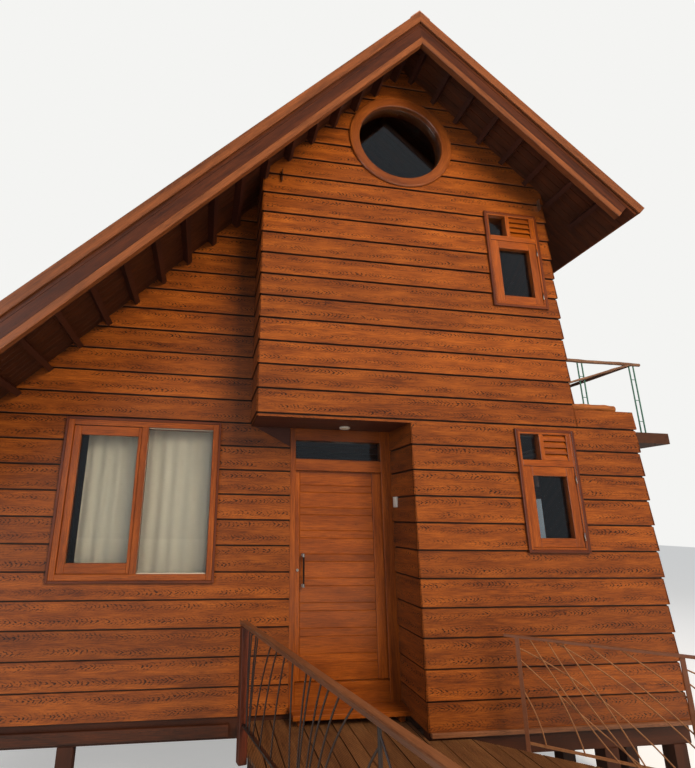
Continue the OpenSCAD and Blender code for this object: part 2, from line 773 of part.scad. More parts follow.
module deck_beams() placed() color("saddlebrown")
  for (y = deck_rows)
    box(deck_x0(y), deck_x1(y), y - deck_beam_w / 2, y + deck_beam_w / 2,
        joist_top - deck_joist, joist_top);

// A bent round rod from p to q, both [along, up], bowed by b to the left of its way
module bent_rod(p, q, b, d) {
  e = b < 0 ? [q, p] : [p, q];
  chord = norm(q - p);
  r = (chord * chord / 4 + b * b) / (2 * abs(b));
  n = [e[0][1] - e[1][1], e[1][0] - e[0][0]] / chord;
  c = (p + q) / 2 - n * (r - abs(b));
  translate(c) rotate(atan2(e[1][1] - c[1], e[1][0] - c[0]))
    rotate_extrude(angle = 2 * asin(chord / 2 / r)) translate([r, 0]) circle(d = d, $fn = 12);
}

// The left railing runs along the left edge of the deck, in a frame of its own:
// -y along the railing, -x away from the deck
left_len = deck_out / cos(skew);
rods_up = rail_top - handrail_t;

module left_frame() translate([-deck_left, 0, 0]) rotate([0, 0, skew]) children();

// How far the posts reach down beside the deck
post_drop = 80;

module left_railing() placed() color("saddlebrown") left_frame() {
  for (t = [0, left_len - rail_post])
    box(-rail_post, 0, -t - rail_post, -t, deck_z - post_drop, deck_z + rods_up);
  box(-rail_out, -rail_post / 2 + handrail_w / 2, -left_len, handrail_t,
      deck_z + rods_up, deck_z + rail_top);
}

// Bent rods of the left railing: where each meets the bottom bar and the handrail,
// as shares of the railing's length
left_rods = [
  [0.045, 0.055], [0.060, 0.090], [0.070, 0.120], [0.090, 0.150], [0.110, 0.255],
  [0.185, 0.313], [0.260, 0.360], [0.400, 0.420], [0.430, 0.495], [0.445, 0.530],
  [0.470, 0.575], [0.485, 0.620], [0.510, 0.660], [0.530, 0.725]];
// A thicker rod stands like a trunk. From it droop rods with these reaches, as
// shares of that length, and these drops below the handrail.
trunk = 0.803;
droops = [[-0.12, 90], [-0.07, 240], [0.07, 180], [0.12, 40]];
bar_w_l = 30;

// The rods stand on the line of the posts, in two layers that pass each other
module left_railing_rods() placed() color("dimgray") left_frame()
  translate([-rail_post / 2, 0, deck_z]) rotate([90, 0, -90]) intersection() {
    translate([rail_post + fit, low_bar, -bar_w_l])
      cube([left_len - 2 * rail_post - 2 * fit, rods_up - low_bar, 2 * bar_w_l]);
    union() {
      translate([0, low_bar, -bar_w_l / 2]) cube([left_len, bar_t, bar_w_l]);
      for (i = [0 : len(left_rods) - 1]) {
        ends = left_rods[i] * left_len;
        translate([0, 0, (i % 2 - 0.5) * (rod_d + fit)])
          bent_rod([ends[0], low_bar - rod_d], [ends[1], rods_up + rod_d],
                   10 + abs(ends[1] - ends[0]) * 0.08, rod_d);
      }
      translate([trunk * left_len, low_bar, 0]) rotate([-90, 0, 0])
        cylinder(d = rod_d * 1.8, h = rods_up, $fn = 12);
      for (a = droops)
        bent_rod([trunk * left_len, rods_up - a[1]],
                 [(trunk + a[0]) * left_len, low_bar - rod_d], a[0] * 500, rod_d);
    }
  }

// The right railing follows the diagonal edge of the deck, fixed to the deck's side
module right_frame() translate([deck_corner, corner_y, deck_z]) rotate([0, 0, -deck_turn])
  translate([0, fit, 0]) children();

// The handrail runs a little past the first post
rail_past = 90;

module right_railing() placed() color("saddlebrown") right_frame() {
  for (i = [0 : right_bays])
    box(right_start + i * right_bay, right_start + i * right_bay + slim_post,
        0, slim_post, -post_drop, rail_top_r);
  box(right_start - rail_past, right_len, (slim_post - rail_w_r) / 2, (slim_post + rail_w_r) / 2,
      rail_top_r, rail_top_r + rail_t_r);
}

// Crossing rods of a bay: their upper and lower ends as shares of its length and
// height, how far each is bowed, and the layer that it lies in
crossing_rods = [
  [[-0.01, 0.530], [0.110, 0.05], 0.021, 1],
  [[-0.01, 0.800], [0.700, 0.05], -0.010, -1],
  [[0.070, 1.020], [0.560, 0.05], -0.025, 1],
  [[0.214, 0.580], [0.355, 0.05], 0.013, 1],
  [[0.190, 1.020], [0.665, 0.05], -0.025, 1],
  [[0.285, 1.020], [0.710, 0.05], 0.013, 1],
  [[0.445, 1.020], [1.010, 0.385], 0.017, -1],
  [[-0.01, 0.905], [0.900, 0.05], 0.077, -1],
  [[0.215, 1.020], [1.010, 0.265], 0.050, -1],
  [[0.640, 1.020], [1.010, 0.665], 0.010, -1]];
bar_up = 50;

module right_railing_rods() placed() color("dimgray") right_frame()
  for (k = [0 : right_bays - 1])
    translate([right_start + k * right_bay + slim_post, slim_post / 2, 0])
      rotate([90, 0, 0]) intersection() {
        translate([fit, bar_up, -slim_post])
          cube([bay_r - 2 * fit, rail_top_r - bar_up, 2 * slim_post]);
        union() {
          translate([-1, bar_up, -bar_t / 2]) cube([bay_r + 2, bar_t, bar_t]);
          for (rod = crossing_rods) translate([0, 0, rod[3] * (rod_d + fit) / 2])
            bent_rod([rod[0][0] * bay_r, rod[0][1] * rail_top_r],
                     [rod[1][0] * bay_r, rod[1][1] * rail_top_r], rod[2] * bay_r, rod_d);
        }
      }

// Terrace railing: a post is two rods with ties, side by side along d
module twin_post(x, y, d) translate([x, y, terrace_z]) {
  for (k = [0, twin_gap]) translate(k * d) cylinder(d = twin_d, h = terrace_rail);
  for (z = [0.2, 0.5, 0.8])
    translate([0, 0, terrace_rail * z]) rotate([0, 90, atan2(d[1], d[0])])
      cylinder(d = twin_d / 2, h = twin_gap);
}

terrace_post_x = terrace_x - 130;
terrace_front_y = wall_t + 30;
branch_z = terrace_z + terrace_rail + branch_d / 2;
terrace_bay = (house_d - terrace_front_y - 100) / 4;
inner_post_x = upper_w + 320;

module terrace_posts() placed() color("seagreen") {
  for (x = [inner_post_x, terrace_post_x - twin_gap / 2])
    twin_post(x, terrace_front_y, [1, 0, 0]);
  for (i = [1 : 4]) twin_post(terrace_post_x, terrace_front_y + i * terrace_bay, [0, 1, 0]);
}

// A round branch lies along each row of posts, and one leans from the wall up to them
module branch_rails() placed() color("rosybrown") {
  translate([upper_w, terrace_front_y, branch_z]) rotate([0, 90, 0])
    cylinder(d = branch_d, h = terrace_x - upper_w);
  translate([terrace_post_x, terrace_front_y, branch_z]) rotate([-90, 0, 0])
    cylinder(d = branch_d, h = 4 * terrace_bay + twin_gap);
  lean_y = terrace_front_y - twin_d / 2 - branch_d * 0.35;
  rise = [terrace_post_x - upper_w, branch_z - terrace_z - terrace_rail * 0.63];
  intersection() {
    box(upper_w, terrace_x, 0, house_d, terrace_z, branch_z + branch_d);
    translate([upper_w, lean_y, branch_z - rise[1]]) rotate([0, atan2(rise[0], rise[1]), 0])
      translate([0, 0, -50]) cylinder(d = branch_d * 0.6, h = norm(rise) + 50);
  }
}

module parapet_log() placed() color("burlywood")
  translate([upper_w + 5, wall_t / 2, parapet_z + log_d / 2]) rotate([0, 90, 0])
    cylinder(d = log_d, h = terrace_w * 0.8);

// The hooks are flat plates under the purlins
hook_drop = 100;

module cable_hooks() placed() color("white")
  for (x = [hook_in_l, upper_w - hook_in_r])
    box(x, x + hook_t, -hook_out, 0, under_z(x) - purlin_h - hook_drop - hook_h,
        under_z(x) - purlin_h - hook_drop);

ground_floor();
floor_joists();
floor_beams();
stilts();
skirt_boards();
lower_front_wall();
porch_return_wall();
wing_front_wall();
wing_side_wall();
lower_back_wall();
lower_right_wall();
upper_front_wall();
upper_side_walls();
upper_back_wall();
upper_floor();
upper_joists();
upper_beams();
porch_ceiling();
terrace_slab();
roof_left();
roof_right();
ridge_cap();
roof_purlins();
barge_rafters();
roof_trim();
round_window_ring();
small_window_frames();
wing_window_frame();
window_glass();
wing_curtain();
door_frame();
door_leaf();
door_handle();
frame_hinges();
leaf_hinges();
entry_step();
porch_lamp();
light_switch();
deck_boards();
deck_beams();
left_railing();
left_railing_rods();
right_railing();
right_railing_rods();
terrace_posts();
branch_rails();
parapet_log();
cable_hooks();
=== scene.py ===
# %% [markdown]
# # A raised timber cottage
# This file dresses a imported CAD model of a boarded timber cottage: lapped cladding
# boards, varnished joinery, a boarded soffit, a sheeted roof, a ribbed deck, bent
# railing rods and branch handrails. The CAD solids stay where they are. Every new
# piece is worked out from their boxes, so it follows them when they are repacked.

import functools
import math

import bpy
import numpy as np
from mathutils import Matrix, Vector


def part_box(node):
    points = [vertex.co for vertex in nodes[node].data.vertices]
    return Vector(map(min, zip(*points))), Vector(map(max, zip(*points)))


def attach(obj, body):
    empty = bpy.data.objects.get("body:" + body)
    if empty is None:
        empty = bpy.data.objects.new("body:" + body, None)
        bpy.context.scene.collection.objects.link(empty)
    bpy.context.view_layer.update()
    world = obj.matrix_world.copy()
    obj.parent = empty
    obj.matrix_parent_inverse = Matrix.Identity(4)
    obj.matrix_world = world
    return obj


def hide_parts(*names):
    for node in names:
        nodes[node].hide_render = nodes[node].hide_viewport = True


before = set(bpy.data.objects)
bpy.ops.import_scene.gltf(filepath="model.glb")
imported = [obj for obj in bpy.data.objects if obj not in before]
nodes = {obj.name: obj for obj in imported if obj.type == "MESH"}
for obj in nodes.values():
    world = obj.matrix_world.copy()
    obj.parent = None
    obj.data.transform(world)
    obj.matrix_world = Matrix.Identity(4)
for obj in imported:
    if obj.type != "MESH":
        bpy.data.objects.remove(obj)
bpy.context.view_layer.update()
rng = np.random.default_rng(7)

# %% [markdown]
# ## House lines
# A carpenter sets a house out from a few lines. The same lines are read back here
# from the boxes of the CAD nodes: the front wall plane, the upper storey's corners and
# the recess. The course height and the two roof pitches are numbers of the design. The
# lines could all be typed in, but read back they follow the part when it changes.

# %% House lines
def box_of(node_name):
    """The low and the high corner of a CAD node's box, in metres."""
    return np.array(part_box(node_name), float)


def lo(node_name):
    """The low corner alone."""
    return box_of(node_name)[0]


def hi(node_name):
    """The high corner alone."""
    return box_of(node_name)[1]


X0, Y0 = lo("upper_front_wall")[:2]  # left end and front plane of the upper storey
X1 = hi("upper_front_wall")[0]  # its right end
SOFFIT = lo("upper_front_wall")[2]  # its lower edge, over the porch
LEVEL = SOFFIT + 0.04  # the foot of one board, from which all courses are counted
COURSE = 0.26
FOOT = lo("lower_front_wall")[2]
XP, XR = lo("lower_front_wall")[0], hi("lower_front_wall")[0]  # right of the porch
PARAPET = hi("lower_front_wall")[2]
XW, YR = lo("wing_front_wall")[:2]  # left end of the wing and its front plane
YB = hi("upper_back_wall")[1]  # back plane
RIDGE_X = (X0 + X1) / 2
APEX = hi("roof_left")[2]
PITCH_L, PITCH_R = math.radians(46), math.radians(43.5)
TAN_L, TAN_R = math.tan(PITCH_L), math.tan(PITCH_R)
ROOF_T = 0.15  # square to the slope, and below it measured straight down
UNDER_L, UNDER_R = ROOF_T / math.cos(PITCH_L), ROOF_T / math.cos(PITCH_R)
ROOF_Y0, ROOF_Y1 = lo("roof_left")[1], hi("roof_left")[1]
DECK_Z = hi("deck_boards")[2]
HOUSE = np.array([X0, Y0, 0.0])
print(f"front {X0:.3f}..{X1:.3f}, wing {XW:.3f}, recess {YR - Y0:.3f}, ridge {APEX:.3f}")


def roof_under(x):
    """Height of the roof's lower face: the ridge, less the distance from it times the
    slope of that side, less the roof's thickness measured straight down."""
    x = np.asarray(x, float)
    drop = np.where(x < RIDGE_X, (RIDGE_X - x) * TAN_L, (x - RIDGE_X) * TAN_R)
    return APEX - drop - np.where(x < RIDGE_X, UNDER_L, UNDER_R)


# %% [markdown]
# ## Materials
# Colours are the sRGB hex values that a paint chart would give, turned to the linear
# values that a renderer adds up. Node trees can be drawn by hand in the shader editor.
# Written out, they can be read and compared, so one helper sets or links the inputs of
# a node, and one adds a node with its settings. Pattern sizes are in millimetres.

# %% Material helpers
def linear(hex_colour):
    """sRGB hex to linear RGBA: each channel c is c/12.92 below 0.04045 and
    ((c + 0.055)/1.055) to the power 2.4 above it."""
    c = np.array([int(hex_colour[i : i + 2], 16) for i in (1, 3, 5)]) / 255
    c = np.where(c <= 0.04045, c / 12.92, ((c + 0.055) / 1.055) ** 2.4)
    return (*c.tolist(), 1.0)


def plug(tree, node, inputs):
    """Fills a node's inputs, by name or number: a socket is linked, a hex colour is
    turned linear, and a number is set."""
    for key, value in inputs.items() if isinstance(inputs, dict) else enumerate(inputs):
        target = node.inputs[key.replace("_", " ") if isinstance(key, str) else key]
        if isinstance(value, bpy.types.NodeSocket):
            tree.links.new(value, target)
        else:
            target.default_value = linear(value) if isinstance(value, str) else value


def add(tree, kind, inputs=(), stops=(), **settings):
    """Adds a shader node with its settings, its inputs and, on a ramp, its stops of
    (position, grey or hex colour). Returns the first output socket in use."""
    node = tree.nodes.new("ShaderNode" + kind)
    for key, value in settings.items():
        setattr(node, key, value)
    plug(tree, node, inputs)
    for i, (position, colour) in enumerate(stops):
        if i >= len(node.color_ramp.elements):
            node.color_ramp.elements.new(position)
        node.color_ramp.elements[i].position = position
        grey = (colour, colour, colour, 1)
        node.color_ramp.elements[i].color = linear(colour) if isinstance(colour, str) else grey
    return next(s for s in node.outputs if s.enabled)


def new_material(name, **values):
    """A node material whose shader inputs take the given values."""
    mat = bpy.data.materials.new(name)
    mat.use_nodes = True
    shader = mat.node_tree.nodes["Principled BSDF"]
    plug(mat.node_tree, shader, values)
    return mat, mat.node_tree, shader


# %% [markdown]
# ### Wood
# A plank sawn off the side of a log shows nested arrowheads: the growth rings, cut at a
# low angle, run as long hyperbolas round a centre line. Their dark late wood is what
# the stain sinks into, so it is drawn as short dark dashes along those curves, mostly
# near the centre line. Fine fibres run along the board. All of it is computed from u
# along the board and v across it, so the grain turns with every board. A picture of
# wood would be quicker, but it repeats and has only one size. Boards differ in tone,
# and grooves and the undersides of laps are darkened with painted shade.

# %% Wood finish
# The first colour is stain pooled in the grain. The second is painted shade, mixed into grooves and under
# the laps.
POOLED_STAIN, GROOVE_SHADE = "#140703", "#120907"
# Each noise: name, length and width of its blobs in mm, detail, roughness
WOOD_NOISES = [("drift", 900, 2000, 2, 0.5), ("swirl", 260, 60, 2, 0.5), ("breaks", 26, 11, 2, 0.5),
               ("patches", 320, 120, 2, 0.5), ("fibre", 150, 6, 4, 0.65), ("fine", 25, 1.6, 2, 0.7),
               ("cloud", 700, 90, 2, 0.5)]


def wood(name, pale, mid, dark, ring_mm=9.0, arrow_mm=45.0, band_mm=130.0, dashes=0.8,
         streak=0.5, gloss=0.42, coat=0.1, relief=0.5, run=None):
    """Stained timber. The phase of the rings is sqrt((v - vc)^2 + a^2) / ring pitch
    + u / arrow pitch, where the centre line vc wanders slowly, and a dash is dark where
    the phase is near a whole number and all masks let it through. run names the object
    axis of the grain on a solid without a UV of its own."""
    mat, tree, shader = new_material(name, IOR=1.5, Coat_Weight=coat, Coat_Roughness=0.25)
    node = functools.partial(add, tree)
    if run is None:
        u, v = node("SeparateXYZ", [node("UVMap", uv_map="grain")]).node.outputs[:2]
    else:
        axes = node("SeparateXYZ", [node("TexCoord").node.outputs["Object"]]).node.outputs
        first, second = (axes[axis] for axis in "XYZ" if axis != run)
        u, v = axes[run], node("Math", [first, 0.83, second], operation="MULTIPLY_ADD")
    tone, dirt = (node("Attribute", attribute_name=key).node.outputs["Fac"] for key in ("tone", "dirt"))
    place = node("CombineXYZ", [u, v, node("Math", [tone, 57.0], operation="MULTIPLY")])
    noise = {}
    for key, along, across, detail, rough in WOOD_NOISES:
        scaled = node("VectorMath", [place, (1000 / along, 1000 / across, 1)], operation="MULTIPLY")
        noise[key] = node("TexNoise", {"Vector": scaled, "Scale": 1.0, "Detail": detail,
                                       "Roughness": rough})
    band = band_mm / 1000
    drift = node("Math", [noise["drift"], 0.7 * band, -0.35 * band], operation="MULTIPLY_ADD")
    moved = node("Math", [v, drift], operation="ADD")
    folded = node("Math", [moved, band], operation="PINGPONG")
    offset = node("Math", [folded, band / 2], operation="SUBTRACT")
    squared = node("Math", [offset, offset, (0.05 * band) ** 2], operation="MULTIPLY_ADD")
    nose = node("Math", [squared], operation="SQRT")
    arrows = node("Math", [u, 1000 / arrow_mm], operation="MULTIPLY")
    arrows = node("Math", [nose, 1000 / ring_mm, arrows], operation="MULTIPLY_ADD")
    phase = node("Math", [noise["swirl"], 3.0, arrows], operation="MULTIPLY_ADD")
    to_whole = node("Math", [node("Math", [phase, 0.5], operation="PINGPONG"), 2.0], operation="MULTIPLY")
    aside = node("Math", [node("Math", [offset], operation="ABSOLUTE"), band], operation="DIVIDE")
    masks = [node("ValToRGB", [source], stops) for source, stops in (
        (to_whole, [(0.3, 1.0), (0.6, 0.0)]), (noise["breaks"], [(0.46, 0.0), (0.53, 1.0)]),
        (noise["patches"], [(0.36, 0.25), (0.55, 1.0)]), (aside, [(0.10, 1.0), (0.32, 0.15)]))]
    dash = functools.reduce(lambda a, b: node("Math", [a, b], operation="MULTIPLY"), [*masks, dashes])
    cloud = node("Math", [noise["cloud"], 0.7, 0.15 - 0.8 * streak], operation="MULTIPLY_ADD")
    depth = node("Math", [noise["fibre"], 1.6 * streak, cloud], operation="MULTIPLY_ADD")
    body = node("ValToRGB", [depth], [(0.1, dark), (0.48, mid), (0.9, pale)])
    stained = node("Mix", {0: dash, 6: body, 7: POOLED_STAIN}, data_type="RGBA")
    # Painted shade: grooves and lap undersides, as marked at each point, are mixed towards a near-black
    # brown.
    groove_shaded = node("Mix", {0: dirt, 6: stained, 7: GROOVE_SHADE}, data_type="RGBA")
    value = node("Math", [tone, 0.26, 0.87], operation="MULTIPLY_ADD")
    fine = node("Math", [noise["fine"], 0.4], operation="MULTIPLY")
    height = node("Math", [fine, dash], operation="SUBTRACT")
    plug(tree, shader, {
        "Base Color": node("HueSaturation", {"Color": groove_shaded, "Value": value}),
        "Roughness": node("Math", [noise["fibre"], 0.25, gloss - 0.1], operation="MULTIPLY_ADD"),
        "Normal": node("Bump", {"Strength": relief, "Distance": 0.0012, "Height": height})})
    return mat


# %% [markdown]
# ### Finishes of this house
# The cladding is an embossed weatherboard with an orange-brown stain: nearly matt, so
# it keeps its colour in the light, with rows of dark arrow dashes where the stain
# pooled. The joinery is varnished teak, redder, smoother and glossier, with long fine
# streaks. Soffit and porch timber is stained dark and painted darker still as shade,
# nearly black-brown, so it reads as shade.
# Deck boards and handrails are weathered and duller. Each wood is one call of the same
# function, so two woods differ only in numbers, and these can be laid side by side.

# %% Wood finishes
JOINERY = dict(ring_mm=7, arrow_mm=140, band_mm=90, dashes=0.3, streak=0.7, gloss=0.3, coat=0.3,
               relief=0.15)
DULL = dict(gloss=0.5, coat=0.0)
CLADDING = wood("stained_embossed_weatherboard", "#a85c1c", "#793c0f", "#331306", ring_mm=24,
                arrow_mm=44, dashes=1.0, streak=0.8, gloss=0.52, coat=0.03)
TEAK = wood("varnished_teak", "#ae5c19", "#813e0c", "#451b07", **JOINERY)
RING_WOOD = wood("dark_varnished_teak_ring", "#a25a24", "#783d16", "#431d09", **JOINERY)
CASING_WOOD = wood("dark_varnished_casing", "#76380f", "#58260b", "#2c1205",
                   **{**JOINERY, "streak": 0.6, "gloss": 0.34})
# Dark stain, made darker still as painted shade for boards that stand under the roof or in a recess.
SOFFIT_WOOD = wood("dark_stained_boards_with_painted_shade", "#623114", "#43200d", "#200e05", ring_mm=8, arrow_mm=90,
                   band_mm=90, dashes=0.5, streak=0.8, relief=0.35, **DULL)
SLOPE_WOOD = wood("weathered_red_brown_board", "#94552e", "#714020", "#3a1c0e", ring_mm=8,
                  arrow_mm=110, band_mm=110, dashes=0.35, streak=0.8, gloss=0.5, coat=0.05, relief=0.35)
POST_WOOD = wood("dark_stained_post", "#73341c", "#4f2110", "#280f07", ring_mm=6, arrow_mm=120,
                 band_mm=75, dashes=0.4, streak=0.7, gloss=0.45, relief=0.25)
RAIL_WOOD = wood("weathered_handrail_timber", "#8f5f3f", "#70452b", "#452817", ring_mm=6,
                 arrow_mm=120, band_mm=70, dashes=0.35, streak=0.8, gloss=0.5, relief=0.3)
DECK_WOOD = wood("weathered_deck_board", "#a07146", "#7d5230", "#4a2e1a", ring_mm=8, arrow_mm=120,
                 band_mm=140, dashes=0.3, streak=0.8, gloss=0.62, coat=0.0, relief=0.35)
BARK = wood("weathered_branch_bark", "#93735d", "#6b4d3c", "#32231b", ring_mm=5, arrow_mm=40,
            band_mm=60, dashes=0.6, streak=1.0, gloss=0.75, coat=0.0, relief=1.0)
LOG_WOOD = wood("peeled_log_wood", "#bd7a42", "#955628", "#4b2a16", ring_mm=6, arrow_mm=90,
                band_mm=80, dashes=0.5, streak=0.9, gloss=0.6, coat=0.0, relief=0.7)
WALL_LINING = wood("lining_boards_level", "#6a3724", "#4b2418", "#26110b", dashes=0.4, run="X", **DULL)
PURLIN_WOOD = wood("dark_stained_purlin", "#54291a", "#3a1a11", "#1e0d08", dashes=0.4, relief=0.3,
                   run="Y", **DULL)
# Floor framing and stilts: red-brown timber, made darker still as painted shade, since they stand under
# the house.
FRAMING, UPRIGHT = (
    wood(name, "#5c2f16", "#401f0e", "#200e06", dashes=0.3, gloss=0.6, coat=0.0, relief=0.3, run=axis)
    for name, axis in (("red_brown_floor_framing_with_painted_shade", "X"), ("red_brown_stilt_with_painted_shade", "Z")))
FLOOR_WOOD = wood("oiled_floor_board", "#9a6a44", "#7a5034", "#4a2f1f", dashes=0.3, gloss=0.5,
                  relief=0.2, run="X")


# %% [markdown]
# ### Metal, paint, glass and cloth
# A painted, plated or moulded finish is one colour with a faint cloud, and a roughness
# that wanders a little, as sprayed paint and brushed metal do. Metal keeps the default
# index. Bitumen sheet is the same with a fine rough grit. The glass is plain float
# glass, so it shows the dark room behind and a thin reflection. It could be a dark
# glossy paint, but only real glass lets the curtain show through. The curtain is an
# undyed net with small ribs both ways.

# %% Other finishes
def coated(name, colour, rough=0.45, cloud_mm=40.0, spread=0.06, relief=0.05, **values):
    """One colour times a cloud between 1 - 2 spread and 1. The same cloud moves the
    roughness by spread to either side and raises the surface a little."""
    mat, tree, shader = new_material(name, **values)
    place = add(tree, "TexCoord").node.outputs["Object"]
    cloud = add(tree, "TexNoise", {"Vector": place, "Scale": 1000 / cloud_mm, "Detail": 4.0})
    tint = add(tree, "ValToRGB", [cloud], [(0.3, 1.0 - 2 * spread), (0.7, 1.0)])
    plug(tree, shader, {
        "Base Color": add(tree, "Mix", {0: 1.0, 6: colour, 7: tint}, data_type="RGBA",
                          blend_type="MULTIPLY"),
        "Roughness": add(tree, "Math", [cloud, spread * 2, rough - spread], operation="MULTIPLY_ADD"),
        "Normal": add(tree, "Bump", {"Strength": relief, "Distance": 0.001, "Height": cloud})})
    return mat


STEEL = coated("satin_stainless_steel", "#c9c6c0", 0.3, 15, Metallic=1.0)
GRIP = coated("dark_oxidised_bronze_grip", "#3a3230", 0.35, 15, Metallic=1.0)
ROD_DARK = coated("dark_painted_rod", "#241512", 0.45, 25, Coat_Weight=0.2)
ROD_PALE = coated("rust_toned_steel_rod", "#b07d55", 0.38, 20, 0.14, Metallic=0.4)
RAIL_STEEL = coated("brown_painted_rail_steel", "#754830", 0.4, 30, 0.1, Coat_Weight=0.15)
GREEN = coated("green_enamel_paint", "#3c6a59", 0.4, 30, Coat_Weight=0.2)
WHITE = coated("white_moulded_plastic", "#dcd9d0", 0.35, 30, 0.03)
FELT = coated("mineral_bitumen_sheet", "#4b403a", 0.85, 4, 0.2, relief=0.6)
FLASHING = coated("pinkish_brown_coated_flashing", "#a37463", 0.5, 80, 0.12)
SLAB = coated("dark_stained_terrace_edge", "#482c1e", 0.75, 50, 0.15, relief=0.4)
BEAD = coated("pale_glazing_bead", "#cfc6b8", 0.4, 20, 0.04)
LENS = coated("opal_lamp_lens", "#e6d9bf", 0.3, 20, 0.02)
FLOAT_GLASS = new_material("float_glass", Base_Color="#eef1ee", Roughness=0.02, IOR=1.5,
                           Transmission_Weight=1.0)[0]

RIB_TURN_MM = 1.4  # the wave turns one radian in 1.4 mm, so a whole rib takes 8.8 mm
WAVE_TURN = 20  # radians that a wave texture turns in one unit at scale 1
NET, net_tree, net_shader = new_material("undyed_woven_net", Base_Color="#e2dccf", Roughness=0.9,
                                         Sheen_Weight=0.2)
net_uv = add(net_tree, "UVMap", uv_map="grain")
ribs = [add(net_tree, "TexWave", {"Vector": net_uv, "Scale": 1000 / RIB_TURN_MM / WAVE_TURN,
                                  "Distortion": 0.6}, bands_direction=axis) for axis in "XY"]
weave = add(net_tree, "Math", ribs, operation="MAXIMUM")
plug(net_tree, net_shader, {"Normal": add(net_tree, "Bump", {
    "Strength": 0.3, "Distance": 0.0005, "Height": weave})})
print(f"{len(bpy.data.materials)} materials")

# %% [markdown]
# ### Handing a piece over
# In a workshop a finished part gets a label before it leaves the bench. Here one
# function gives a new piece its material, the CAD body it moves with and the CAD
# nodes it stands for. Done by hand at each piece, one of them would
# sooner or later be forgotten.


def finish_with(obj, material, replaces=(), body="house"):
    """Gives a piece its material, its CAD body and the nodes it stands for."""
    obj.data.materials.append(material)
    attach(obj, body)
    if replaces:
        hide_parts(*replaces)
    print(f"{obj.name}: {len(obj.data.polygons)} faces")
    return obj


# %% [markdown]
# ## Putting arrays into meshes
# All new pieces are arrays of points. The first helper turns points and faces into an
# object, the second joins a grid of points with quads. Blender's own operators could
# add and shape one part at a time, but with arrays every corner is known beforehand. A
# piece can carry a UV in metres, along which the grain runs, a random tone for each
# board, and the painted shade in its grooves.

# %% Mesh helpers
def piece(name, verts, faces, uv=None, smooth=False, **point_values):
    """A mesh object from points and faces. uv has one row per face corner, and each
    further argument is an attribute with one number per point."""
    mesh = bpy.data.meshes.new(name)
    mesh.from_pydata(np.asarray(verts, float).tolist(), [], [list(map(int, f)) for f in faces])
    if uv is not None:
        layer = mesh.uv_layers.new(name="grain")
        layer.data.foreach_set("uv", np.asarray(uv, np.float32).ravel())
    for key, values in point_values.items():
        numbers = np.asarray(values, np.float32).ravel()
        mesh.attributes.new(key, "FLOAT", "POINT").data.foreach_set("value", numbers)
    mesh.polygons.foreach_set("use_smooth", np.full(len(mesh.polygons), smooth))
    mesh.update()
    obj = bpy.data.objects.new(name, mesh)
    bpy.context.collection.objects.link(obj)
    return obj


def grid_faces(rows, cols, closed=False):
    """Quads over a grid of points numbered row by row. closed joins the last column
    to the first."""
    r = np.arange(rows - 1)[:, None]
    c = np.arange(cols if closed else cols - 1)[None, :]
    n = (c + 1) % cols
    quads = np.stack([r * cols + c, r * cols + n, (r + 1) * cols + n, (r + 1) * cols + c], -1)
    return quads.reshape(-1, 4)


# %% [markdown]
# ## Lapped cladding
# The walls are clad with lapped boards, 0.26 m to the weather. Each board is thin at
# its top and thick at its foot, and its foot throws a dark line over the next board.
# Painted shade in the groove and under the foot makes that line darker still.
# A wall is one grid: its rows are the levels of the board profile, repeated course by
# course, and its columns are the wall's left edge, the two sides of each opening and
# its right edge, all written as functions of height. Cells that fall in an opening
# are left out, so the boards are trimmed to gables, corners and even round windows. An
# array of single boards, cut by booleans, would do the same, but it leaves slivers.

# %% Cladding helper
# Height above the board's foot in mm, distance from the wall in mm, share of painted shade
PROFILE = np.array([(0, 2, 1), (0, 17, 0.7), (1.5, 20.5, 0.2), (5, 22, 0), (240, 10.5, 0),
                    (244, 9.5, 0.3), (248, 1.5, 1), (260, 1.5, 1)]) / [1000, 1000, 1]


def at(z, value):
    """A number, or a function of height, as one value for each height z."""
    return value(z) if callable(value) else np.full_like(z, value)


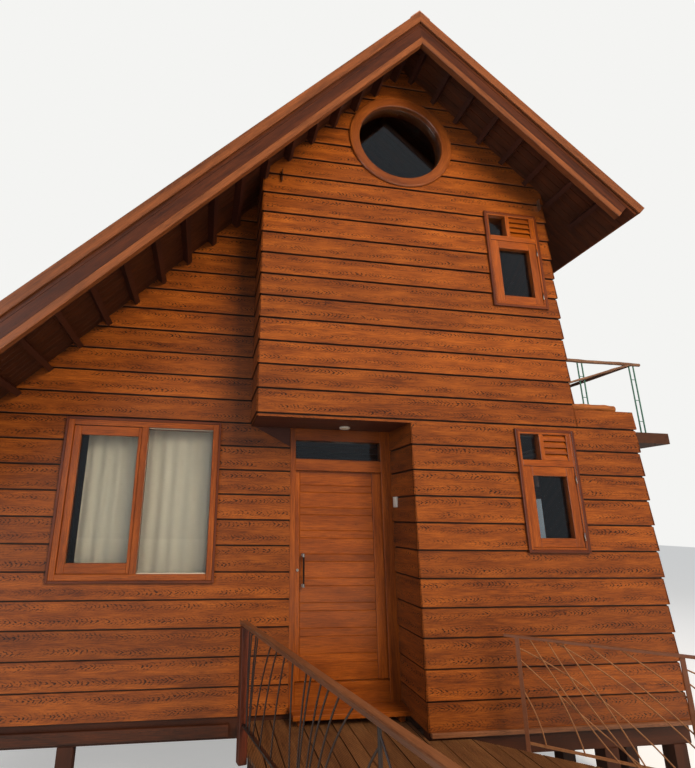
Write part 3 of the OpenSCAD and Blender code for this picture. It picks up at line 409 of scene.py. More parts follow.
def cladding(name, origin, along, out, left, right, z0, z1, holes=(), mitre=(0, 0), levels=()):
    """Lapped boards on one wall. left and right are the wall's ends, as numbers or as
    functions of height, each hole is (bottom, top, left, right), from left to right,
    and mitre lengthens an end by that share of the board's own thickness, as at an
    outside corner. levels are further heights for a row. A board's tone is the
    fraction of a large sine of its course number and wall plane, so that pieces on one
    plane share it."""
    first = math.floor((z0 - LEVEL) / COURSE + 1e-6)
    last = math.ceil((z1 - LEVEL) / COURSE - 1e-6)
    course = np.arange(first, last)
    z = (LEVEL + course[:, None] * COURSE + PROFILE[None, :, 0]).ravel()
    z = z + 1e-7 * np.arange(len(z))  # keeps rows of one height in their order
    board = np.repeat(np.arange(len(course)), len(PROFILE))
    extra = [np.array([z0, z1, *levels])]
    for bottom, top, l, _ in holes:
        extra.append(np.linspace(bottom, top, 72 if callable(l) else 2))
    extra = np.concatenate(extra)
    inside = np.floor((extra - LEVEL) / COURSE).astype(int) - first
    inside = np.clip(inside, 0, len(course) - 1)
    depth, dirt = (np.tile(PROFILE[:, i], len(course)) for i in (1, 2))
    order = np.argsort(np.concatenate([z, extra]), kind="stable")
    depth = np.concatenate([depth, np.interp(extra, z, depth)])[order]
    dirt = np.concatenate([dirt, np.interp(extra, z, dirt)])[order]
    board = np.concatenate([board, inside])[order]
    z = np.concatenate([z, extra])[order]
    keep = (z >= z0 - 1e-6) & (z <= z1 + 1e-6)
    z, depth, dirt, board = z[keep], depth[keep], dirt[keep], board[keep]
    a0 = at(z, left) - at(z, mitre[0]) * depth
    a1 = at(z, right) + at(z, mitre[1]) * depth
    lines, gaps, column_of = [a0], [], {}
    for bottom, top, l, r in holes:
        if (l, r) not in column_of:
            column_of[l, r] = len(lines)
            lines += [at(z, l), at(z, r)]
        gaps.append((column_of[l, r], bottom, top))
    lines = np.clip(np.stack([*lines, a1], 1), a0[:, None], np.maximum(a1, a0)[:, None])
    a = np.concatenate([a0[:, None], lines, lines[:, -1:]], 1)
    rows, cols = a.shape
    d = np.repeat(depth[:, None], cols, 1)
    d[:, 0] = d[:, -1] = 0
    points = (np.array(origin) + a[..., None] * np.array(along) + d[..., None] * np.array(out)
              + z[:, None, None] * np.array([0, 0, 1]))
    faces = grid_faces(rows, cols)
    r, c = faces[:, 0] // cols, faces[:, 0] % cols
    middle = (z[r] + z[r + 1]) / 2
    wide = np.maximum(a[r, c + 1] - a[r, c], a[r + 1, c + 1] - a[r + 1, c]) > 1e-5
    end = ((c == 0) | (c == cols - 2)) & (a[r, -1] - a[r, 0] > 1e-5)
    keep = wide | end
    for column, bottom, top in gaps:
        keep &= ~((c == column + 1) & (middle > bottom) & (middle < top))
    used, faces = np.unique(faces[keep], return_inverse=True)
    faces = faces.reshape(-1, 4)
    if np.dot(np.cross(along, [0, 0, 1]), out) < 0:
        faces = faces[:, ::-1]
    level, column = used // cols, used % cols
    number = board[level] + first
    tone = np.mod(np.sin(number * 78.233 + 37.7 * np.dot(origin, out)) * 43758.5453, 1)  # a hash
    u = a[level, column] + 30 * tone
    v = z[level] - LEVEL
    obj = piece(name, points.reshape(-1, 3)[used], faces, np.stack([u, v], -1)[faces.ravel()],
                tone=tone, dirt=dirt[level])
    return finish_with(obj, CLADDING)


# %% [markdown]
# ### Where the boards stop
# A carpenter marks each board against the rafter, the corner or the window casing and
# saws it there. The same marks are functions here: the end of a wall at a height, and
# the sides of an opening at a height. They could be lists of measured lengths, but a
# function holds for every board at once.

# %% Ends and openings
RIGHT, FRONT, LEFT, BACK = (1, 0, 0), (0, -1, 0), (-1, 0, 0), (0, 1, 0)
FRAME_X0, FRAME_Y0 = lo("door_frame")[:2]
TERRACE_LO, TERRACE_HI = box_of("terrace_slab")[:, 2]
ROOF_GAP = 0.002  # between the cut ends of the boards and the roof
LAP = 0.006  # how far a casing covers the cut ends of the boards


def gable_left(limit_x):
    """Left end of a wall under the long slope: the roof's lower face solved for x."""
    return lambda z: np.maximum(limit_x, RIDGE_X - (APEX - UNDER_L - ROOF_GAP - z) / TAN_L)


def gable_right(limit_x):
    """Right end of a wall under the short slope, in the same way."""
    return lambda z: np.minimum(limit_x, RIDGE_X + (APEX - UNDER_R - ROOF_GAP - z) / TAN_R)


def wall_top(x):
    """Top of a wall that meets the slope with its outer corner at x."""
    return float(roof_under(x)) - 2 * ROOF_GAP


WIN_W, WIN_H = 0.70, 1.27
UPPER_WIN = (X1 - 0.13 - WIN_W, LEVEL + 1.395)
LOWER_WIN = (X1 - 0.065 - WIN_W, LEVEL - 1.325)
BACK_WIN_X = [X0 + (X1 - X0) * q - WIN_W / 2 for q in (0.25, 0.75)]
BACK_WIN_Z = (LOWER_WIN[1], UPPER_WIN[1] - 0.052)
SIDE_WIN_Y = [Y0 + (YB - Y0) * q for q in (0.3, 0.7)]
SIDE_WIN_Z = hi("lower_right_wall")[2] - WIN_H - 0.06
RING_LO, RING_HI = box_of("round_window_ring")
ROUND_X, ROUND_Z = (RING_LO + RING_HI)[[0, 2]] / 2
ROUND_R = (RING_HI - RING_LO)[0] / 2
WIDE_LO, WIDE_HI = box_of("wing_window_frame")
WIDE_W, _, WIDE_H = WIDE_HI - WIDE_LO


def window_hole(x, z, wide=WIN_W, high=WIN_H):
    """The opening behind a window with its lower left corner at x, z."""
    return (z + LAP, z + high - LAP, x + LAP, x + wide - LAP)


def round_hole():
    """A circle as two functions of height: the centre less or plus the half chord."""
    r = ROUND_R - LAP

    def chord(z):
        """Half the chord at height z: the root of r^2 - (z - centre)^2."""
        return np.sqrt(np.maximum(r * r - (z - ROUND_Z) ** 2, 0))

    return (ROUND_Z - r, ROUND_Z + r, lambda z: ROUND_X - chord(z), lambda z: ROUND_X + chord(z))


def back_left(z):
    """Left end of the back wall as seen from behind: the right wall below the
    terrace, the upper storey above it, then the short slope."""
    return np.where(z < TERRACE_LO + 1e-6, -XR, -gable_right(X1)(z))


def wing_right(z):
    """Right end of the wing's front wall: the door frame, and over it the upper storey."""
    return np.where(z < SOFFIT + 1e-6, FRAME_X0, X0)


print(f"small windows {WIN_W} x {WIN_H} m, wing window {WIDE_W:.3f} x {WIDE_H:.3f} m")

# %% [markdown]
# ### Boards on the ten walls
# Each wall is a plane, its two ends, its lowest and highest board and its openings. At
# an outside corner the boards of both walls run on by their own thickness, so that
# they meet in a mitre. The parapet lies in the plane of the front wall and goes on
# with its boards. One large mesh for the whole house would be possible, but a wall of
# its own is easier to find and to change.

# %% Boards on each wall
TOP = APEX - UNDER_L - 0.01
FRONT_FOOT = FOOT + 0.016
cladding("cladding_upper_front", (0, Y0, 0), RIGHT, FRONT, gable_left(X0), gable_right(X1),
         SOFFIT, TOP, [round_hole(), window_hole(*UPPER_WIN)], (1, lambda z: z > PARAPET),
         (PARAPET, PARAPET + 1e-5))
cladding("cladding_lower_front", (0, Y0, 0), RIGHT, FRONT, XP, XR, FRONT_FOOT, SOFFIT,
         [window_hole(*LOWER_WIN)], (1, 1))
cladding("cladding_parapet", (0, Y0, 0), RIGHT, FRONT, X1, XR, SOFFIT, PARAPET, mitre=(0, 1))
cladding("cladding_wing_front", (0, YR, 0), RIGHT, FRONT, gable_left(XW), wing_right, FOOT,
         wall_top(X0), [window_hole(WIDE_LO[0], WIDE_LO[2], WIDE_W, WIDE_H)], (1, 0))
cladding("cladding_upper_cheek", (X0, 0, 0), FRONT, LEFT, -YR, -Y0, SOFFIT, wall_top(X0),
         mitre=(0, 1))
cladding("cladding_porch_return", (XP, 0, 0), FRONT, LEFT, -FRAME_Y0, -Y0, FRONT_FOOT, SOFFIT,
         mitre=(0, 1))
cladding("cladding_wing_side", (XW, 0, 0), FRONT, LEFT, -YB, -YR, FOOT, wall_top(XW), mitre=(1, 1))
cladding("cladding_lower_right", (XR, 0, 0), BACK, RIGHT, Y0, YB, FOOT, TERRACE_LO,
         [window_hole(y - WIN_W / 2, SIDE_WIN_Z) for y in SIDE_WIN_Y], (1, 1))
cladding("cladding_upper_right", (X1, 0, 0), BACK, RIGHT, Y0, YB, TERRACE_HI, wall_top(X1),
         mitre=(1, 1))
cladding("cladding_back", (0, YB, 0), LEFT, BACK, back_left, lambda z: -gable_left(XW)(z), FOOT, TOP,
         [window_hole(-x - WIN_W, z) for z in BACK_WIN_Z for x in BACK_WIN_X[::-1]], (1, 1))

# %% [markdown]
# ## Sawn timber
# Joinery, trims, rails and posts are sawn timber with slightly rounded edges. One
# board is a chamfered rectangle carried from one end to the other. All boards of a
# piece are computed together: the corner pattern times each board's half width and
# half thickness, placed with its own axes. The UV runs along the board in metres. A
# cube with a bevel would look the same, but its UV wouldn't follow the grain.

# %% Timber helper
def timber(name, boards, chamfer=0.003):
    """Boards as chamfered prisms. Each board is (start, end, across, width, thick):
    its middle line from start to end, the direction of its width, and two sizes. A
    corner lies at centre + across * width/2 * a + normal * thick/2 * b, where a and b
    step round the rectangle with the chamfer taken off."""
    start, end, across = (np.array([b[i] for b in boards], float) for i in range(3))
    half = np.array([[b[3], b[4]] for b in boards], float) / 2
    n = len(boards)
    length = np.linalg.norm(end - start, axis=1)
    along = (end - start) / length[:, None]
    across -= along * (across * along).sum(1, keepdims=True)
    across /= np.linalg.norm(across, axis=1, keepdims=True)
    normal = np.cross(along, across)
    c = np.minimum(chamfer, half.min(1) * 0.45)[:, None]
    w, t = half[:, :1], half[:, 1:]
    a = np.concatenate([w - c, w, w, w - c, c - w, -w, -w, c - w], 1)
    b = np.concatenate([-t, c - t, t - c, t, t, t - c, c - t, -t], 1)
    c = c[:, 0]
    rows = np.stack([0 * c, c, length - c, length], 1)
    inset = np.array([1.0, 0, 0, 1])[None, :, None] * c[:, None, None]
    ring_a = a[:, None, :] - np.sign(a)[:, None, :] * inset
    ring_b = b[:, None, :] - np.sign(b)[:, None, :] * inset
    verts = (start[:, None, None] + along[:, None, None] * rows[:, :, None, None]
             + across[:, None, None] * ring_a[..., None] + normal[:, None, None] * ring_b[..., None])
    r, k = (g.reshape(-1, 1) for g in np.meshgrid(np.arange(3), np.arange(8), indexing="ij"))
    row, col = np.hstack([r, r, r + 1, r + 1]), np.hstack([k, k + 1, k + 1, k])
    cap = np.arange(8)
    first = 32 * np.arange(n)[:, None]
    sides = ((row * 8 + col % 8).ravel()[None] + first).reshape(-1, 4)
    starts, ends = first + cap[::-1], first + 24 + cap
    step = np.hypot(np.diff(a, axis=1, append=a[:, :1]), np.diff(b, axis=1, append=b[:, :1]))
    around = np.concatenate([np.zeros((n, 1)), np.cumsum(step, 1)], 1)
    shift = rng.uniform(0, 40, (n, 1))
    uv_sides = np.stack([rows[:, row.ravel()] + shift, around[:, col.ravel()] + shift], -1)
    flat = np.stack([a + shift, b + shift], -1)
    uv = np.concatenate([uv_sides.reshape(-1, 2), flat[:, ::-1].reshape(-1, 2), flat.reshape(-1, 2)])
    tone = np.repeat(rng.uniform(0, 1, n), 32)
    faces = sides.tolist() + starts.tolist() + ends.tolist()
    return piece(name, verts.reshape(-1, 3), faces, uv, tone=tone)


def in_frame(origin, right, out, boxes):
    """Boards given as boxes in a wall's own frame: x along the wall, d outwards, z up.
    Each box is (x0, x1, d0, d1, z0, z1, run), and run names the axis of the grain."""
    origin, axes = np.array(origin, float), np.array([right, out, (0, 0, 1)], float)
    boards = []
    for x0, x1, d0, d1, z0, z1, run in boxes:
        low, high = np.array([x0, d0, z0]), np.array([x1, d1, z1])
        k, wide, thick = {"x": (0, 2, 1), "d": (1, 0, 2), "z": (2, 0, 1)}[run]
        start, end = (low + high) / 2, (low + high) / 2
        start[k], end[k] = low[k], high[k]
        size = high - low
        boards.append((origin + start @ axes, origin + end @ axes, axes[wide], size[wide], size[thick]))
    return boards


# %% [markdown]
# ## Bent and turned parts
# A branch, a pin or a bar is a circle carried along a path, and a ring or a lamp is a
# profile turned about an axis. A curve with a round bevel and a screw modifier do the
# same in Blender. These helpers are used because their meshes keep UV and tone.

# %% Sweep and lathe helpers
def tube(name, paths, radii, sides=16, smooth=True):
    """Circles carried along paths: a point is path + radius * (cos * e1 + sin * e2),
    with e1 and e2 square to the path's own direction. Every end is closed."""
    verts, faces, uv, tone = [], [], [], []
    turn = np.linspace(0, 2 * np.pi, sides, endpoint=False)
    for path, radius in zip(paths, radii):
        path = np.asarray(path, float)
        radius = np.broadcast_to(np.asarray(radius, float), (len(path),))
        way = np.gradient(path, axis=0)
        way /= np.linalg.norm(way, axis=1, keepdims=True)
        side = np.array([0.0, 0, 1]) if abs(way[:, 2]).mean() < 0.8 else np.array([1.0, 0, 0])
        e1 = np.cross(way, side)
        e1 /= np.linalg.norm(e1, axis=1, keepdims=True)
        e2 = np.cross(way, e1)
        ring = e1[:, None] * np.cos(turn)[None, :, None] + e2[:, None] * np.sin(turn)[None, :, None]
        base = sum(len(v) for v in verts)
        verts.append((path[:, None] + radius[:, None, None] * ring).reshape(-1, 3))
        run = np.concatenate([[0], np.cumsum(np.linalg.norm(np.diff(path, axis=0), axis=1))])
        quads = grid_faces(len(path), sides, closed=True)
        col = quads % sides
        col[:, 1:3] = np.where(col[:, 1:3] == 0, sides, col[:, 1:3])
        shift = rng.uniform(0, 30)
        around = col * 2 * np.pi * radius.mean() / sides
        uv.append(np.stack([run[quads // sides] + shift, around + shift], -1).reshape(-1, 2))
        last = (len(path) - 1) * sides
        uv.append(np.full((2 * sides, 2), shift))
        faces += (quads + base).tolist()
        faces += [(np.arange(sides)[::-1] + base).tolist(), (np.arange(sides) + last + base).tolist()]
        tone.append(np.full(len(path) * sides, rng.uniform()))
    return piece(name, np.concatenate(verts), faces, np.concatenate(uv), smooth, tone=np.concatenate(tone))


def lathe(name, centre, axis, profile, segments=96, smooth=False):
    """A closed profile of (radius, height) turned about the axis through centre: a
    point is centre + radius * (cos * e1 + sin * e2) + height * axis."""
    profile = np.asarray(profile, float)
    axis = np.asarray(axis, float)
    e1 = np.cross(axis, [0.3, 0.2, 0.9])
    e1 /= np.linalg.norm(e1)
    e2 = np.cross(axis, e1)
    turn = np.linspace(0, 2 * np.pi, segments, endpoint=False)
    ring = np.cos(turn)[:, None] * e1 + np.sin(turn)[:, None] * e2
    verts = (np.asarray(centre, float) + profile[None, :, 0, None] * ring[:, None]
             + profile[None, :, 1, None] * axis)
    n = len(profile)
    s, k = (g.reshape(-1, 1) for g in np.meshgrid(np.arange(segments), np.arange(n), indexing="ij"))
    row, col = np.hstack([s, s, s + 1, s + 1]), np.hstack([k, k + 1, k + 1, k])
    faces = (row % segments) * n + col % n
    across = np.concatenate([[0], np.cumsum(np.hypot(*np.diff(
        np.vstack([profile, profile[:1]]), axis=0).T))])
    u = row * 2 * np.pi * profile[:, 0].max() / segments
    uv = np.stack([u, across[col] + 0.4], -1).reshape(-1, 2)
    return piece(name, verts.reshape(-1, 3), faces, uv, smooth)


# %% [markdown]
# ## Small windows
# A joiner makes these in three layers: a dark varnished casing on the boards, a teak
# frame inside it, and a sash with wide stiles a little further back. Over the sash a
# glazed light stands on the left and a louvre of four wooden slats on the right. The
# layers could be cut from one block. Here every board is a box of its own, so that its
# grain runs the right way and the joints show.

# %% Boards of a small window
# Distances in from the outer edge of the window, in metres
CASING_EDGE, LINING, CASING_IN, SASH_EDGE, SASH_IN = 0.030, 0.027, 0.052, 0.054, 0.152
# Heights of the middle rail, and places of the louvre's left post and right stile
RAIL_LOW, RAIL_TOP = 0.873, 0.938
LIGHT_X, VENT_X, VENT_END = 0.273, 0.323, WIN_W - 0.104
# Distances out from the wall: the reveal's back, two backs of the sash, two faces
REVEAL, BED, SASH_BACK, SASH_FACE, FACE = -0.148, -0.05, -0.04, 0.033, 0.041
SASH_HEAD, HEAD = RAIL_LOW - 0.002, WIN_H - CASING_IN


def four_sides(w, h, x0, x1, back, front):
    """Two uprights and two rails between them, from x0 to x1 inside a w by h outline."""
    return [(x0, x1, back, front, x0, h - x0, "z"), (w - x1, w - x0, back, front, x0, h - x0, "z"),
            (x1, w - x1, back, front, h - x1, h - x0, "x"), (x1, w - x1, back, front, x0, x1, "x")]


CASING_BOXES = four_sides(WIN_W, WIN_H, 0, CASING_EDGE, 0, 0.045)
SASH_BOXES = four_sides(WIN_W, WIN_H, CASING_EDGE, CASING_IN, 0, FACE)
SASH_BOXES += four_sides(WIN_W, WIN_H, LINING, CASING_IN, REVEAL, -0.001)
SASH_BOXES += [
    (CASING_IN, WIN_W - CASING_IN, BED, FACE, RAIL_LOW, RAIL_TOP, "x"),
    (LIGHT_X, VENT_X, BED, FACE, RAIL_TOP, HEAD, "z"),
    (VENT_END, WIN_W - CASING_IN, BED, FACE, RAIL_TOP, HEAD, "z"),
    (VENT_X, VENT_END, BED, 0, RAIL_TOP, HEAD, "z"),
    (SASH_EDGE, SASH_IN, SASH_BACK, SASH_FACE, SASH_EDGE, SASH_HEAD, "z"),
    (WIN_W - SASH_IN, WIN_W - SASH_EDGE, SASH_BACK, SASH_FACE, SASH_EDGE, SASH_HEAD, "z"),
    (SASH_IN, WIN_W - SASH_IN, SASH_BACK, SASH_FACE, SASH_EDGE, 0.142, "x"),
    (SASH_IN, WIN_W - SASH_IN, SASH_BACK, SASH_FACE, 0.773, SASH_HEAD, "x")]
print(len(CASING_BOXES) + len(SASH_BOXES), "boards in a small window")

# %% [markdown]
# ### Eight small windows
# All eight come from one list of boxes, which three directions carry to each place on
# a wall. The louvre slats are tilted to shed rain, and two steel hinges show on the
# right stile. Linked copies would be lighter, but then all windows would have the same
# grain.

# %% Small windows
SMALL_WINDOWS = [((UPPER_WIN[0], Y0, UPPER_WIN[1]), RIGHT, FRONT),
                 ((LOWER_WIN[0], Y0, LOWER_WIN[1]), RIGHT, FRONT)]
SMALL_WINDOWS += [((x + WIN_W, YB, z), LEFT, BACK) for z in BACK_WIN_Z for x in BACK_WIN_X]
SMALL_WINDOWS += [((XR, y - WIN_W / 2, SIDE_WIN_Z), BACK, RIGHT) for y in SIDE_WIN_Y]
UP = np.array([0, 0, 1.0])
casing_list, sash_list, slat_list, hinge_paths = [], [], [], []
for origin, right, out in SMALL_WINDOWS:
    casing_list += in_frame(origin, right, out, CASING_BOXES)
    sash_list += in_frame(origin, right, out, SASH_BOXES)
    o, x, d = (np.array(axis, float) for axis in (origin, right, out))
    for z in np.linspace(RAIL_TOP + 0.038, HEAD - 0.034, 4):
        middle = o + 0.020 * d + z * UP
        slat_list.append((middle + (VENT_X + 0.001) * x, middle + (VENT_END - 0.001) * x,
                          0.34 * d - 0.94 * UP, 0.074, 0.008))
    for z in (0.16, 0.74):
        hinge = o + (WIN_W - 0.053) * x + 0.044 * d + z * UP
        hinge_paths.append([hinge - 0.04 * UP, hinge + 0.04 * UP])
finish_with(timber("small_window_casings", casing_list), CASING_WOOD, ["small_window_frames"])
finish_with(timber("small_window_sashes", sash_list), TEAK)
finish_with(timber("louvre_slats", slat_list, 0.002), TEAK)
finish_with(tube("window_hinges", hinge_paths, [0.007] * len(hinge_paths), 12), STEEL)

# %% [markdown]
# ## Round window
# The ring is turned: an inner edge, a long bevel that catches the light, and a rounded
# outer edge that stands off the boards. A torus could be flattened into a ring, but a
# profile taken round the circle gives each edge its own number.

# %% Round window
RING_MM = [(-130, -148), (-130, 26), (-124, 33), (-116, 35), (-24, 45), (-8, 43), (-1, 36),
           (0, 26), (0, 0), (-66, 0), (-66, -148)]
ring_profile = np.array([(ROUND_R + r / 1000, h / 1000) for r, h in RING_MM])
finish_with(lathe("round_window_casing", (ROUND_X, Y0, ROUND_Z), FRONT, ring_profile, 128),
            RING_WOOD, ["round_window_ring"])

# %% [markdown]
# ## Wing window
# The wide window has a dark edge, a broad teak frame and a sliding sash on the left
# that stands a step back. The right pane is glazed straight into the frame, with a
# pale bead above and below. It is made with the same boxes as the small windows,
# because a joiner would use the same sections.

# %% Wing window
WIDE_EDGE, WIDE_LINING, WIDE_IN = 0.026, 0.0435, 0.085
MULLION = (0.7825, 0.8475)
SLIDE_X = (0.087, 0.160, 0.7475, 0.7805)  # the two stiles of the sliding sash
SLIDE_LOW, SLIDE_TOP, SLIDE_RAIL = WIDE_IN + 0.002, WIDE_H - WIDE_IN - 0.002, 0.185
wide_casing = four_sides(WIDE_W, WIDE_H, 0, WIDE_EDGE, 0, 0.045)
wide_teak = four_sides(WIDE_W, WIDE_H, WIDE_EDGE, WIDE_IN, 0, 0.040)
wide_teak += four_sides(WIDE_W, WIDE_H, WIDE_LINING, WIDE_IN, REVEAL, -0.001)
wide_teak += [
    (*MULLION, -0.10, 0.040, WIDE_IN, WIDE_H - WIDE_IN, "z"),
    (SLIDE_X[0], SLIDE_X[1], -0.035, 0.021, SLIDE_LOW, SLIDE_TOP, "z"),
    (SLIDE_X[2], SLIDE_X[3], -0.035, 0.026, SLIDE_LOW, SLIDE_TOP, "z"),
    (SLIDE_X[1], SLIDE_X[2], -0.035, 0.021, SLIDE_LOW, SLIDE_RAIL, "x"),
    (SLIDE_X[1], SLIDE_X[2], -0.035, 0.021, WIDE_H - SLIDE_RAIL, SLIDE_TOP, "x")]
wide_beads = [(MULLION[1], WIDE_W - WIDE_IN, -0.008, 0.010, z, z + 0.010, "x")
              for z in (WIDE_IN, WIDE_H - WIDE_IN - 0.010)]
for part, boxes, chamfer, material, stands_for in (
        ("casing", wide_casing, 0.003, CASING_WOOD, ["wing_window_frame"]),
        ("sashes", wide_teak, 0.003, TEAK, ()), ("beads", wide_beads, 0.002, BEAD, ())):
    boards = in_frame((WIDE_LO[0], YR, WIDE_LO[2]), RIGHT, FRONT, boxes)
    finish_with(timber(f"wing_window_{part}", boards, chamfer), material, stands_for)

# %% [markdown]
# ## Curtain
# Behind the wide window hangs a plain net on a rail. A cloth simulation could drape
# it, but it would hang a little differently each time. Here the folds are a sine
# across the width with a slow drift, so the cloth is only bent and never stretched,
# and its flat width is the length of that wavy line.

# %% Curtain
CURTAIN_LO, CURTAIN_HI = box_of("wing_curtain")
CURTAIN_Y = YR + 0.150 + 0.017  # the wall's thickness and a gap
FOLD_PITCH, FOLD_DEPTH = 0.155, 0.011
curtain_x = np.linspace(CURTAIN_LO[0] + 0.115, CURTAIN_HI[0] - 0.002, 241)
curtain_z = np.linspace(CURTAIN_HI[2], CURTAIN_LO[2] + 0.004, 60)
across_x, down_z = np.meshgrid(curtain_x, curtain_z)
drift = 0.9 * np.sin(across_x * 9.0) + 0.25 * (CURTAIN_HI[2] - down_z)
curtain_y = CURTAIN_Y + FOLD_DEPTH * np.sin(2 * np.pi * across_x / FOLD_PITCH + drift)
curtain_uv = np.stack([across_x, down_z], -1).reshape(-1, 2)
curtain_faces = grid_faces(*across_x.shape)
curtain_points = np.stack([across_x, curtain_y, down_z], -1).reshape(-1, 3)
rail_path = np.full((9, 3), [0, CURTAIN_Y, CURTAIN_HI[2] + 0.006])
rail_path[:, 0] = np.linspace(CURTAIN_LO[0] - 0.02, CURTAIN_HI[0] + 0.02, 9)
finish_with(tube("curtain_rail", [rail_path], [0.0065], 12), STEEL)
curtain = piece("net_curtain", curtain_points, curtain_faces[:, ::-1],
                curtain_uv[curtain_faces[:, ::-1].ravel()], smooth=True)
finish_with(curtain, NET, ["wing_curtain"])

# %% [markdown]
# ## Door frame and step
# The frame stands three boards deep, so that the leaf closes against a stop, and a
# transom carries the glass over the door. Two broad treads on two bearers make the
# step. One hollow block would be simpler, but at an open door the rebates are seen.

# %% Door frame and step
DOOR_ORIGIN = HOUSE + (0, YR - Y0, 0)
SILL, HEAD_TOP = 0.84, 3.66
STEP_Z = (DECK_Z + 0.0005, 0.8645, 0.865, 0.910)  # foot and top of its legs, then its boards
frame_boards = in_frame(DOOR_ORIGIN, RIGHT, FRONT, [
    (0.440, 0.500, -0.015, 0.020, SILL, HEAD_TOP, "z"),
    (0.440, 0.488, -0.150, -0.015, SILL, HEAD_TOP, "z"),
    (1.490, 1.620, -0.015, 0.020, SILL, HEAD_TOP, "z"),
    (1.502, 1.620, -0.065, -0.015, SILL, HEAD_TOP, "z"),
    (1.514, 1.620, -0.150, -0.065, SILL, HEAD_TOP, "z"),
    (0.500, 1.490, -0.150, 0.018, SILL, 1.10, "x"),
    (0.500, 1.490, -0.015, 0.020, 3.190, 3.317, "x"),
    (0.488, 1.514, -0.150, -0.015, 3.202, 3.317, "x"),
    (0.500, 1.490, -0.150, 0.020, 3.527, HEAD_TOP, "x")])
finish_with(timber("door_frame_boards", frame_boards), TEAK, ["door_frame"])
step_boxes = [(0.440, 1.620, near, far, *STEP_Z[2:], "x")
              for near, far in ((0.0205, 0.144), (0.147, 0.270))]
step_boxes += [(x, x + 0.060, 0.020, 0.210, *STEP_Z[:2], "d") for x in (0.500, 1.500)]
step_boards = in_frame(DOOR_ORIGIN, RIGHT, FRONT, step_boxes)
finish_with(timber("entry_step_boards", step_boards, 0.005), TEAK, ["entry_step"])

# %% [markdown]
# ### Door leaf
# The leaf has two upright stiles and, between them, level planks that alternate wide
# and narrow, each with a bevelled edge, so that thin dark lines cross the door. The
# lines could be painted on one board. Real planks also catch the light on their edges.

# %% Door leaf
LEAF_LO, LEAF_HI = box_of("door_leaf")
leaf_w, leaf_t, leaf_h = LEAF_HI - LEAF_LO
STILE_L, STILE_R, PAIRS, WIDE_SHARE = 0.060, 0.110, 8, 0.68
pair = leaf_h / (PAIRS + WIDE_SHARE)
edges = np.arange(PAIRS + 1) * pair
edges = np.sort(np.concatenate([edges, edges + WIDE_SHARE * pair]))
leaf_boxes = [(0, STILE_L, -leaf_t, 0, 0, leaf_h, "z"),
              (leaf_w - STILE_R, leaf_w, -leaf_t, 0, 0, leaf_h, "z")]
leaf_boxes += [(STILE_L, leaf_w - STILE_R, 0.006 - leaf_t, -0.006, low, high, "x")
               for low, high in zip(edges[:-1], edges[1:])]
finish_with(timber("planked_door", in_frame(LEAF_LO, RIGHT, FRONT, leaf_boxes), 0.0045), TEAK,
            ["door_leaf"], "door")

# %% [markdown]
# ### Door pull
# The pull is a dark bar, a little thicker in the middle, with pale collars on two
# legs, and a round lock rose sits on the stile beside it. All are turned parts. A
# cylinder from the menu would do for each, but the bar's swell needs its own radii.

# %% Door pull
HANDLE_LO, HANDLE_HI = box_of("door_handle")
GRIP_R, LEG_IN, COLLAR = 0.010, 0.015, 0.016
pull_x, pull_y, leaf_y = HANDLE_HI[0] - GRIP_R, HANDLE_LO[1] + GRIP_R, LEAF_LO[1]
pull_z0, pull_z1 = HANDLE_LO[2], HANDLE_HI[2]
t = np.linspace(0, 1, 25)
grip_path = np.stack([0 * t + pull_x, 0 * t + pull_y, pull_z0 + t * (pull_z1 - pull_z0)], 1)
finish_with(tube("door_pull_grip", [grip_path], [0.0075 + 0.0025 * np.sin(np.pi * t) ** 0.6], 20),
            GRIP, body="door")
leg_z = (pull_z0 + LEG_IN, pull_z1 - LEG_IN)
collar_z = (pull_z0 + COLLAR, pull_z1 - COLLAR)
rose_x, rose_z = HANDLE_LO[0] + 0.014, (pull_z0 + pull_z1) / 2
fittings = [[(pull_x, pull_y, z), (pull_x, leaf_y + 0.006, z)] for z in leg_z]
fittings += [[(pull_x, pull_y, z - COLLAR), (pull_x, pull_y, z + COLLAR)] for z in collar_z]
fittings += [[(pull_x, leaf_y + 0.001, z), (pull_x, leaf_y + 0.006, z)] for z in leg_z]
fittings.append([(rose_x, leaf_y - 0.008, rose_z), (rose_x, leaf_y - 0.0005, rose_z)])
fitting_radii = [0.008] * 2 + [0.0125] * 2 + [0.017] * 2 + [0.014]
finish_with(tube("door_pull_fittings", fittings, fitting_radii, 24, smooth=False), STEEL,
            ["door_handle"], "door")

# %% [markdown]
# ## Roof
# Everything on a slope is an outline carried in a straight line, longer on the left
# than on the right. Flat parts could be made level and then turned by the pitch. With
# a formula for a point on the slope, the ends come out cut plumb at the ridge plane,
# as a roofer cuts them.

